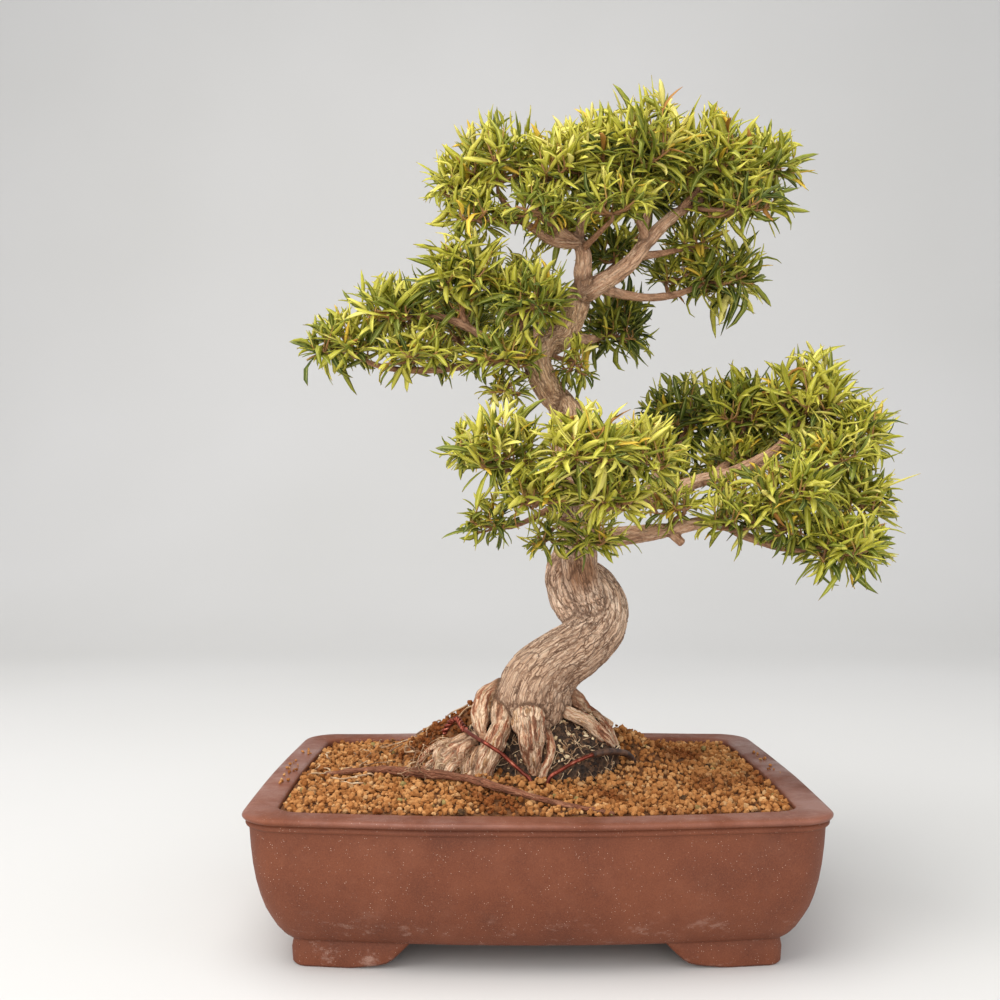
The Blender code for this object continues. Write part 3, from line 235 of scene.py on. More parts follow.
class Nodes:
    """A material's node tree, with its Principled shader and short ways to add to it."""

    def __init__(self, name):
        self.material = bpy.data.materials.new(name)
        self.material.use_nodes = True
        self.tree = self.material.node_tree
        self.shader = self.tree.nodes["Principled BSDF"]
        self.place = self.add("ShaderNodeTexCoord").outputs["Object"]

    def add(self, kind, **values):
        node = self.tree.nodes.new(kind)
        for key, value in values.items():
            setattr(node, key, value)
        return node

    def link(self, value, socket):
        """Feed a socket from a node's output, a number or a screen colour."""
        if isinstance(value, (int, float)):
            socket.default_value = value
        elif isinstance(value, tuple):
            socket.default_value = (*rgb(*value), 1.0)
        else:
            self.tree.links.new(value, socket)

    def pattern(self, kind, scale, source=None, stretch=None, **values):
        """A noise or cell texture on the piece's own coordinates or on others, stretched or not."""
        vector = source or self.place
        if stretch:
            mapping = self.add("ShaderNodeMapping")
            mapping.inputs["Scale"].default_value = stretch
            self.link(vector, mapping.inputs["Vector"])
            vector = mapping.outputs["Vector"]
        node = self.add(kind, **values)
        node.inputs["Scale"].default_value = scale
        self.link(vector, node.inputs["Vector"])
        return node

    def clouds(self, scale, detail=4.0, rough=0.55, source=None, stretch=None):
        node = self.pattern("ShaderNodeTexNoise", scale, source, stretch)
        node.inputs["Detail"].default_value = detail
        node.inputs["Roughness"].default_value = rough
        return node.outputs["Fac"]

    def cells(self, scale, output="Distance", source=None, stretch=None, **values):
        return self.pattern("ShaderNodeTexVoronoi", scale, source, stretch, **values).outputs[output]

    def split(self, colour):
        node = self.add("ShaderNodeSeparateColor")
        self.link(colour, node.inputs["Color"])
        return list(node.outputs)

    def stored(self, name):
        """The red, green, blue and alpha of a colour stored on the piece's points."""
        layer = self.add("ShaderNodeAttribute", attribute_name=name)
        return [*self.split(layer.outputs["Color"]), layer.outputs["Alpha"]]

    def ramp(self, source, *stops):
        node = self.add("ShaderNodeValToRGB")
        while len(node.color_ramp.elements) < len(stops):
            node.color_ramp.elements.new(0.5)
        for element, (position, *colour) in zip(node.color_ramp.elements, stops):
            element.position = position
            element.color = (*rgb(*colour), 1.0)
        self.link(source, node.inputs["Fac"])
        return node.outputs["Color"]

    def mask(self, source, low, high):
        node = self.add("ShaderNodeMapRange")
        node.inputs["From Min"].default_value = low
        node.inputs["From Max"].default_value = high
        self.link(source, node.inputs["Value"])
        return node.outputs["Result"]

    def sums(self, operation, a, b):
        node = self.add("ShaderNodeMath", operation=operation)
        self.link(a, node.inputs[0])
        self.link(b, node.inputs[1])
        return node.outputs["Value"]

    def times(self, a, b):
        return self.sums("MULTIPLY", a, b)

    def blend(self, factor, a, b, mode="MIX"):
        node = self.add("ShaderNodeMix", data_type="RGBA", blend_type=mode)
        for socket, value in zip((node.inputs[0], node.inputs[6], node.inputs[7]), (factor, a, b)):
            self.link(value, socket)
        return node.outputs[2]

    def coat(self, base, colour, share, *masks):
        """A colour over the base where all the masks are, up to a share."""
        factor = masks[0]
        for value in (*masks[1:], share):
            factor = self.times(factor, value)
        return self.blend(factor, base, colour)

    def bump(self, height, strength, distance, below=None):
        node = self.add("ShaderNodeBump")
        node.inputs["Strength"].default_value = strength
        node.inputs["Distance"].default_value = distance
        self.link(height, node.inputs["Height"])
        if below:
            self.link(below, node.inputs["Normal"])
        return node.outputs["Normal"]

    def finish(self, colour, roughness, normal=None, **shader):
        self.link(colour, self.shader.inputs["Base Color"])
        self.link(roughness, self.shader.inputs["Roughness"])
        if normal:
            self.link(normal, self.shader.inputs["Normal"])
        for key, value in shader.items():
            self.shader.inputs[key.replace("_", " ")].default_value = value
        return self.material


def clay_finish():
    """Matt fired clay: finely mottled, with pale mineral specks, scuffs low down, and a smoother rim with a
    pale painted sheen.
    """
    n = Nodes("fired_clay")
    parts = n.add("ShaderNodeSeparateXYZ")
    n.link(n.place, parts.inputs["Vector"])
    height = parts.outputs["Z"]
    mottle = n.clouds(24, 5, 0.6)
    fine = n.clouds(1500, 3, 0.6)
    base = n.ramp(mottle, (0.3, 96, 48, 28), (0.5, 110, 57, 34), (0.72, 122, 67, 42))
    base = n.coat(base, (140, 82, 54), 0.4, n.mask(fine, 0.5, 0.75))
    base = n.coat(base, (78, 38, 22), 0.35, n.mask(fine, 0.5, 0.28))
    base = n.coat(base, (144, 90, 66), 0.3, n.mask(n.clouds(40, 5, 0.7), 0.5, 0.8))
    scuff = n.mask(n.clouds(70, 6, 0.75, stretch=(1, 1, 1.8)), 0.56, 0.7)
    base = n.coat(base, (184, 150, 134), 0.5, scuff, n.mask(height, CLAY_SCUFFS[1], CLAY_SCUFFS[0]))
    rare = n.mask(n.clouds(260, 2), 0.5, 0.56)
    base = n.coat(base, (206, 178, 158), 1.0, n.mask(n.cells(760), 0.16, 0.07), rare)
    base = n.coat(base, (56, 26, 18), 0.5, n.mask(n.cells(900), 0.16, 0.05))
    # Painted sheen: a pale pinkish grey is laid on the rim in place of the backdrop's reflection. The same
    # mask also makes the rim smoother.
    smooth_rim_and_painted_sheen = n.times(n.mask(height, CLAY_RIM[0], CLAY_RIM[1]), n.mask(n.clouds(34, 4, 0.6), 0.35, 0.65))
    base = n.coat(base, (150, 104, 90), 0.4, smooth_rim_and_painted_sheen)
    rough = n.sums("ADD", n.times(mottle, 0.2), 0.54)
    rough = n.sums("SUBTRACT", rough, n.times(smooth_rim_and_painted_sheen, 0.34))
    return n.finish(base, rough, n.bump(fine, 0.35, 0.0004), Specular_IOR_Level=0.35)


pot = add_piece("stoneware_pot", *pot_shell())
pot_feet = [add_piece("foot", *pot_foot(sx, sy)) for sx in (-1, 1) for sy in (-1, 1)]
join_or_cut(pot, pot_feet, "UNION")
drains = []
for sx in (-1, 1):
    spot = POT_MIDDLE + Vector((sx * DRAIN_X, 0, DRAIN_MIDDLE)) * MM
    bpy.ops.mesh.primitive_cylinder_add(vertices=28, radius=DRAIN_RADIUS * MM, depth=DRAIN_DEEP * MM,
                                        location=spot)
    drains.append(bpy.context.object)
join_or_cut(pot, drains, "DIFFERENCE")
paint(pot, clay_finish(), "clay", "pot")

# Drain screens
# Two squares of black plastic mesh, each moulded in one piece. They lie loose on the pot's floor,
# over the drain holes, and hold the soil in.


def screen_finish():
    """Black plastic with fine scuffs."""
    n = Nodes("screen_plastic")
    scuff = n.clouds(600, 3)
    colour = n.ramp(scuff, (0.4, 24, 24, 24), (0.8, 58, 56, 53))
    return n.finish(colour, 0.55, n.bump(scuff, 0.2, 0.0002))


screen_black = screen_finish()
for name in ("drain_screen_left", "drain_screen_right"):
    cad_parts[name].data.materials.clear()
    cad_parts[name].data.materials.append(screen_black)

# Soil
# Akadama, a fired and sieved clay grain, filled to the rim and mounded against the roots. The bed
# is the packed soil between the grains, and the grains lie on it, some of them damp and dark.
SOIL_BACK = 77.3
SOIL_FRONT = 79.5
SOIL_MOUNDS = [(6.0, -30.0, -30.0, 55.0, 38.0), (36.0, -25.0, 30.0, 46.0, 32.0),
               (19.0, 54.0, 22.0, 30.0, 34.0)]
DAMP_SPOTS = [(0.5, 88.0, 55.0, 30.0, 34.0), (1.3, -42.0, 24.0, 26.0, 26.0)]
SOIL_INSET = 16.7
BED_RINGS = 34
BED_SUNK = 1.6
BED_WAIST = (17.6, 54.0)
BED_FOOT = (30.5, FLOOR_TOP + 2)
GRAIN_STEP = 3.15
GRAIN_RADIUS = (0.9, 2.3)
GRAIN_KINDS = 14
GRAIN_POINTS = 14
GRAIN_EDGE = 12.0
LOOSE_GRAINS = 700
RIM_GRAINS = [(26, (-144, -136), (-40, 60), (0.5, 1.3)), (16, (137, 143), (-10, 60), (0.4, 1.1))]


def heap(x, y, rise, middle_x, middle_y, reach_x, reach_y):
    """How high a soft round heap is at a point of the plan."""
    return rise * exp(-((x - middle_x) / reach_x) ** 2 - ((y - middle_y) / reach_y) ** 2)


def soil_height(x, y):
    """Height of the soil at a point of the plan."""
    blend = (y + POT_HALF_DEPTH) / (2 * POT_HALF_DEPTH)
    height = SOIL_FRONT + (SOIL_BACK - SOIL_FRONT) * blend
    for mound in SOIL_MOUNDS:
        height += heap(x, y, *mound)
    return height


def soil_bed():
    """A closed bed: its underside, its wall, and its surface ring by ring to the middle."""
    points = [(x, y, height) for inset, height in (BED_FOOT, BED_WAIST) for x, y in outline(inset)]
    count = len(points) // 2
    for i in range(BED_RINGS):
        share = 1 - i / BED_RINGS
        for x, y in outline(SOIL_INSET):
            px, py = x * share, y * share
            rough = 0.8 * noise.noise(Vector((px, py, 0)) / 5)
            points.append((px, py, soil_height(px, py) - BED_SUNK + rough))
    middle = len(points)
    points.append((0, 0, soil_height(0, 0) - BED_SUNK))
    faces = [tuple(reversed(range(count))), *ring_faces(BED_RINGS + 2, count)]
    faces += [(middle - count + k, middle - count + (k + 1) % count, middle) for k in range(count)]
    return points, faces


def grain_kinds(draw):
    """A few angular lumps, each the hull of points on an uneven ball."""
    kinds = []
    for kind in range(GRAIN_KINDS):
        bm = bmesh.new()
        squash = (1.0, draw.uniform(0.72, 1.0), draw.uniform(0.62, 0.95))
        for k in range(GRAIN_POINTS):
            height = 1 - 2 * (k + 0.5) / GRAIN_POINTS
            flat = sqrt(1 - height * height)
            turn = radians(137.5) * k + draw.uniform(-0.5, 0.5)
            size = draw.uniform(0.78, 1.18)
            bm.verts.new((flat * cos(turn) * size * squash[0], flat * sin(turn) * size * squash[1],
                          height * size * squash[2]))
        bmesh.ops.convex_hull(bm, input=bm.verts)
        bmesh.ops.delete(bm, geom=[v for v in bm.verts if not v.link_faces], context="VERTS")
        bmesh.ops.recalc_face_normals(bm, faces=bm.faces)
        bm.verts.index_update()
        kinds.append((np.array([v.co[:] for v in bm.verts]), [[v.index for v in f.verts] for f in bm.faces]))
        bm.free()
    return kinds


def turned(draw):
    """A random turn as a 3 by 3 matrix."""
    a, b, c, d = (draw.gauss(0, 1) for k in range(4))
    size = sqrt(a * a + b * b + c * c + d * d)
    a, b, c, d = a / size, b / size, c / size, d / size
    return np.array([[1 - 2 * (c * c + d * d), 2 * (b * c - a * d), 2 * (b * d + a * c)],
                     [2 * (b * c + a * d), 1 - 2 * (b * b + d * d), 2 * (c * d - a * b)],
                     [2 * (b * d - a * c), 2 * (c * d + a * b), 1 - 2 * (b * b + c * c)]])


def inside_pot(x, y, inset):
    """True where a point of the plan lies inside the pot's inner wall."""
    half_x, half_y = POT_HALF_WIDTH - inset, POT_HALF_DEPTH - inset
    bow = FRONT_BOW if y < 0 else BACK_BOW
    x_edge = half_x - SIDE_BOW * (y / half_y) ** 2
    y_edge = half_y - bow * (x / half_x) ** 2
    if abs(x) > x_edge or abs(y) > y_edge:
        return False
    radius = 10.0
    dx, dy = abs(x) - (x_edge - radius), abs(y) - (y_edge - radius)
    return not (dx > 0 and dy > 0 and dx * dx + dy * dy > radius * radius)


def gathered(shapes):
    """Several meshes as one list of points and one of faces."""
    points, faces = [], []
    for shape_points, shape_faces in shapes:
        start = len(points)
        points += [tuple(p) for p in shape_points]
        faces += [tuple(i + start for i in face) for face in shape_faces]
    return points, faces


def tint(piece, name, values):
    """Store one colour for each point of a piece."""
    layer = piece.data.attributes.new(name, "FLOAT_COLOR", "POINT")
    layer.data.foreach_set("color", np.asarray(values, dtype=np.float32).reshape(-1))


def add_tinted(name, layer, points, faces, tones, smooth=0):
    """A mesh piece with one stored colour for each of its points."""
    piece = add_piece(name, points, faces, smooth)
    tint(piece, layer, tones)
    return piece


def soil_grains(draw):
    """Grains on a jittered grid, a looser layer on top of them, and a few on the rim."""
    kinds = grain_kinds(draw)
    shapes, tones = [], []

    def drop(x, y, z, radius):
        points, faces = kinds[draw.randrange(GRAIN_KINDS)]
        points = points @ turned(draw).T * radius + np.array([x, y, z])
        damp = noise.noise(Vector((x, y, 3)) / 38) + 0.35 * noise.noise(Vector((x, y, 7)) / 9)
        for spot in DAMP_SPOTS:
            damp += heap(x, y, *spot)
        shapes.append((points, faces))
        tone = (draw.random(), min(1.0, max(0.0, damp)), draw.random(), 1.0)
        tones.extend([tone] * len(points))

    for i in range(int(POT_HALF_WIDTH * 2 / GRAIN_STEP)):
        for k in range(int(POT_HALF_DEPTH * 2 / GRAIN_STEP)):
            x = -POT_HALF_WIDTH + (i + draw.random()) * GRAIN_STEP
            y = -POT_HALF_DEPTH + (k + draw.random()) * GRAIN_STEP
            radius = draw.uniform(*GRAIN_RADIUS)
            if inside_pot(x, y, SOIL_INSET + radius):
                drop(x, y, soil_height(x, y) + draw.uniform(-0.6, 0.7), radius)
    for k in range(LOOSE_GRAINS):
        x = draw.uniform(-134, 134)
        y = draw.uniform(-95, 95)
        radius = draw.uniform(1.0, 2.4)
        if inside_pot(x, y, SOIL_INSET + 3):
            drop(x, y, soil_height(x, y) + draw.uniform(1.2, 2.4), radius)
    for count, across, along, sizes in RIM_GRAINS:
        for k in range(count):
            x, y, radius = draw.uniform(*across), draw.uniform(*along), draw.uniform(*sizes)
            drop(x, y, POT_HEIGHT + radius * 0.7, radius)
    return *gathered(shapes), tones


def grain_finish():
    """Each grain its own tan, cream or brown, dusty when dry and darker where it is damp."""
    n = Nodes("akadama_grains")
    own, damp, kind = n.stored("grain")[:3]
    base = n.ramp(own, (0.0, 134, 80, 38), (0.3, 160, 106, 60), (0.6, 174, 119, 70),
                  (0.9, 190, 139, 88), (0.96, 206, 166, 118), (1.0, 110, 70, 42))
    base = n.blend(n.mask(kind, 0.975, 0.98), base, (140, 126, 78))
    base = n.blend(n.mask(kind, 0.99, 0.991), base, (40, 32, 28))
    wet = n.blend(1.0, base, (166, 128, 108), "MULTIPLY")
    base = n.blend(n.mask(damp, 0.1, 0.55), base, wet)
    dust = n.clouds(900, 4, 0.65)
    base = n.coat(base, (212, 154, 92), 0.25, n.mask(dust, 0.35, 0.75))
    return n.finish(base, 0.95, n.bump(dust, 0.5, 0.0006), Specular_IOR_Level=0.1)


def bed_finish():
    """The shaded fines between the grains."""
    n = Nodes("akadama_fines")
    crumb = n.clouds(500, 5, 0.7)
    # Painted shade: the fines are coloured darker than the grains, as shade in the gaps between them.
    base = n.ramp(crumb, (0.35, 92, 54, 26), (0.7, 142, 92, 48))
    return n.finish(base, 0.95, n.bump(crumb, 0.8, 0.001))


bed = add_piece("soil_bed", *soil_bed())
paint(bed, bed_finish(), "akadama", "soil")
grains = add_tinted("soil_grains", "grain", *soil_grains(random.Random(11)), GRAIN_EDGE)
paint(grains, grain_finish(), "akadama")

# Root ball
# The tree's old dark soil, a lump of peat held together by hair roots. The thick roots clasp it.
# Loose hair roots stand off them, and dry bits lie fallen on the soil beside them.
BALL_MIDDLE = (3.0, 1.0, 76.5)
BALL_RADII = (51.0, 36.0, 44.0)
BALL_SIDES = 120
BALL_RINGS = 60
HAIR_ROOTS = 280
LOOSE_HAIRS = 46
LOOSE_FROM = ((-68, -32), (-38, -22), (86, 104))
LOOSE_WAY = ((-0.5, 0.7), (-0.6, 0.6), (0.2, 0.6))
LOOSE_WANDER = ((0, 0.5), (0, 0.5), (-0.25, 0.5))
LOOSE_STOPS = 9
LOOSE_STEP = 1.9
FALLEN_BITS = 44
FALLEN_MIDDLE = (-84, 8)
FALLEN_STEP = 2.6
BALL_CRUMBS = 1500


def ball_surface(turn, tilt):
    """A point of the ball's uneven surface."""
    way = Vector((sin(tilt) * cos(turn), sin(tilt) * sin(turn), cos(tilt)))
    lump = 1 + 0.05 * noise.noise(way * 3.1) + 0.035 * noise.noise(way * 11) + 0.012 * noise.noise(way * 30)
    return (BALL_MIDDLE[0] + BALL_RADII[0] * way.x * lump, BALL_MIDDLE[1] + BALL_RADII[1] * way.y * lump,
            BALL_MIDDLE[2] + BALL_RADII[2] * way.z * lump - 1.0)


def old_soil_ball():
    """The ball as rings from its top to its underside."""
    points = [ball_surface(0, 0)]
    for i in range(1, BALL_RINGS):
        points += [ball_surface(2 * pi * k / BALL_SIDES, pi * i / BALL_RINGS) for k in range(BALL_SIDES)]
    foot, last = len(points), len(points) - BALL_SIDES
    points.append(ball_surface(0, pi))
    faces = [(0, 1 + k, 1 + (k + 1) % BALL_SIDES) for k in range(BALL_SIDES)]
    faces += ring_faces(BALL_RINGS - 1, BALL_SIDES, 1, inward=True)
    faces += [(foot, last + (k + 1) % BALL_SIDES, last + k) for k in range(BALL_SIDES)]
    return points, faces


def heading(line, i):
    """The direction of a line of (point, radius) stops at one of them."""
    return (line[min(i + 1, len(line) - 1)][0] - line[max(i - 1, 0)][0]).normalized()


def tube(line, sides):
    """A closed tube through (point, radius) stops, with flat ends."""
    points, side = [], None
    for i, (p, radius) in enumerate(line):
        ahead = heading(line, i)
        side = ahead.orthogonal() if side is None else side
        side = (side - ahead * side.dot(ahead)).normalized()
        across = ahead.cross(side)
        for k in range(sides):
            turn = 2 * pi * k / sides
            points.append(p + (side * cos(turn) + across * sin(turn)) * radius)
    count = len(points)
    ends = tuple(reversed(range(sides))), tuple(range(count - sides, count))
    return points, [ends[0], *ring_faces(len(line), sides), ends[1]]


def hair_roots(draw):
    """Fine roots that wander over the ball, in and out of its surface."""
    shapes = []
    for k in range(HAIR_ROOTS):
        turn = draw.uniform(0, 2 * pi)
        tilt = draw.uniform(0.25, 1.35)
        steps = draw.randint(6, 12)
        angle = draw.uniform(0, 2 * pi)
        line = []
        for i in range(steps):
            p = Vector(ball_surface(turn, tilt)) + Vector((0, 0, 0.3))
            lift = 0.9 * sin(i * draw.uniform(0.8, 2.4) + k)
            line.append((p + Vector((cos(turn), sin(turn), 0.6)) * lift,
                         draw.uniform(0.14, 0.4) * (1 - 0.5 * i / steps)))
            angle += draw.uniform(-0.7, 0.7)
            turn += cos(angle) * 0.055
            tilt += sin(angle) * 0.06
        shapes.append(tube(line, 4))
    return gathered(shapes)


def loose_hairs(draw):
    """Hair roots that stand loose from the left-hand roots, and dry bits that lie on the soil."""
    shapes = []
    for k in range(LOOSE_HAIRS):
        p = Vector([draw.uniform(*span) for span in LOOSE_FROM])
        way = Vector([draw.gauss(*lean) for lean in LOOSE_WAY]).normalized()
        line = []
        for i in range(LOOSE_STOPS):
            line.append((p.copy(), 0.3 - 0.02 * i))
            p += way * LOOSE_STEP
            p.z = max(p.z, soil_height(p.x, p.y) + 1.5)
            way += Vector([draw.gauss(*lean) for lean in LOOSE_WANDER])
            way.normalize()
        shapes.append(tube(line, 4))
    for k in range(FALLEN_BITS):
        x, y = draw.gauss(FALLEN_MIDDLE[0], 30), draw.gauss(FALLEN_MIDDLE[1], 36)
        angle = draw.uniform(0, 2 * pi)
        radius = draw.uniform(0.3, 0.6)
        line = []
        for i in range(draw.randint(4, 8)):
            if inside_pot(x, y, SOIL_INSET + 2):
                line.append((Vector((x, y, soil_height(x, y) + 2.4 + 0.3 * sin(i * 1.3 + k))), radius))
            angle += draw.gauss(0, 0.3)
            x += cos(angle) * FALLEN_STEP
            y += sin(angle) * FALLEN_STEP
        if len(line) > 3:
            shapes.append(tube(line, 5))
    return gathered(shapes)


def old_soil_finish():
    """Near-black peat with brown crumbs in it."""
    n = Nodes("old_soil")
    crumb = n.cells(420)
    own = n.split(n.cells(420, output="Color"))[0]
    base = n.ramp(own, (0.0, 46, 32, 24), (0.55, 78, 56, 40), (0.9, 112, 82, 58))
    base = n.blend(n.mask(crumb, 0.75, 0.1), base, (30, 21, 16))
    return n.finish(base, 0.95, n.bump(crumb, 0.9, 0.002))


def hair_finish():
    """Dry straw and brown hair roots."""
    n = Nodes("hair_roots")
    own = n.clouds(120, 3)
    base = n.ramp(own, (0.32, 104, 74, 52), (0.5, 168, 132, 98), (0.68, 222, 198, 162))
    return n.finish(base, 0.85)


ball = add_piece("old_soil_ball", *old_soil_ball())
paint(ball, old_soil_finish(), "old_soil", "root_ball")
straw = hair_finish()
hairs = add_piece("hair_roots", *hair_roots(random.Random(5)))
paint(hairs, straw, "bark")
loose = add_piece("loose_hairs", *loose_hairs(random.Random(8)))
paint(loose, straw, "bark")


def ball_crumbs(draw):
    """Crumbs of peat, bark and pale grit stuck on the ball."""
    kinds = grain_kinds(draw)
    shapes, tones = [], []
    for k in range(BALL_CRUMBS):
        turn = draw.uniform(0, 2 * pi)
        tilt = draw.uniform(0.2, 1.3)
        points, faces = kinds[draw.randrange(GRAIN_KINDS)]
        radius = draw.uniform(0.6, 1.2) + 1.3 * draw.random() ** 3
        points = points * np.array([1.0, draw.uniform(0.4, 1.0), draw.uniform(0.35, 0.9)])
        points = points @ turned(draw).T * radius + np.array(ball_surface(turn, tilt))
        shapes.append((points, faces))
        tones.extend([(draw.random(), 0, 0, 1)] * len(points))
    return *gathered(shapes), tones


def crumb_finish():
    """Mostly dark crumbs, a few of them cream."""
    n = Nodes("old_crumbs")
    base = n.ramp(n.stored("grain")[0], (0.0, 36, 25, 18), (0.5, 82, 56, 38), (0.68, 140, 98, 64),
                  (0.76, 212, 186, 142), (1.0, 226, 206, 170))
    return n.finish(base, 0.95, n.bump(n.clouds(900), 0.4, 0.0006))


crumbs = add_tinted("old_crumbs", "grain", *ball_crumbs(random.Random(6)), GRAIN_EDGE)
paint(crumbs, crumb_finish(), "old_soil")

# Wood
# Trunk, limbs, twigs and roots, grown as one. The trunk folds back on itself twice where it was
# bent young. Its bark is pale and split along the stem, browner higher up and pink on the roots.
TRUNK = {
    "lower": [(0, -2, 92.5, 8), (0, -5, 104.5, 15), (0, -7, 113.5, 20.2), (0.5, -8, 122.5, 22.6),
        (4, -8, 133.5, 21.3), (14, -7, 144.5, 18.6), (28, -4, 153.5, 17.5), (39, 0, 164.5, 17.6),
        (41, 3, 175.5, 17.1), (36, 6, 185.5, 16), (29, 8, 193.5, 13)],
    "fold": [(27, 5, 168.5, 11), (19, 4, 180.5, 11.2), (16, 2, 193.5, 10), (21, 0, 206.5, 9)],
    "middle": [(34, -8, 178.5, 11), (29, -10, 190.5, 12.1), (27, -8, 202.5, 11.6), (26, -4, 217.5, 10.5),
        (25, -2, 228.5, 10.5), (22, 0, 240.5, 10), (21, 0, 252.5, 10), (21, 0, 264.5, 10),
        (22, -1, 273.5, 9.9), (23, -2, 284.5, 9.4), (21, 0, 293.5, 7.5)],
    "upper": [(24, 4, 279.5, 8), (19, 4, 292.5, 9.1), (12, 3, 300.5, 8.5), (6, -3, 309.5, 8.5),
        (3, -5, 318.5, 8.4), (8, 2, 328.5, 7.9), (18, 9, 334.5, 7.7), (24, 9, 344.5, 7.6),
        (27.5, 4, 353.5, 7.5), (31, 0, 364.5, 7.1)],
}
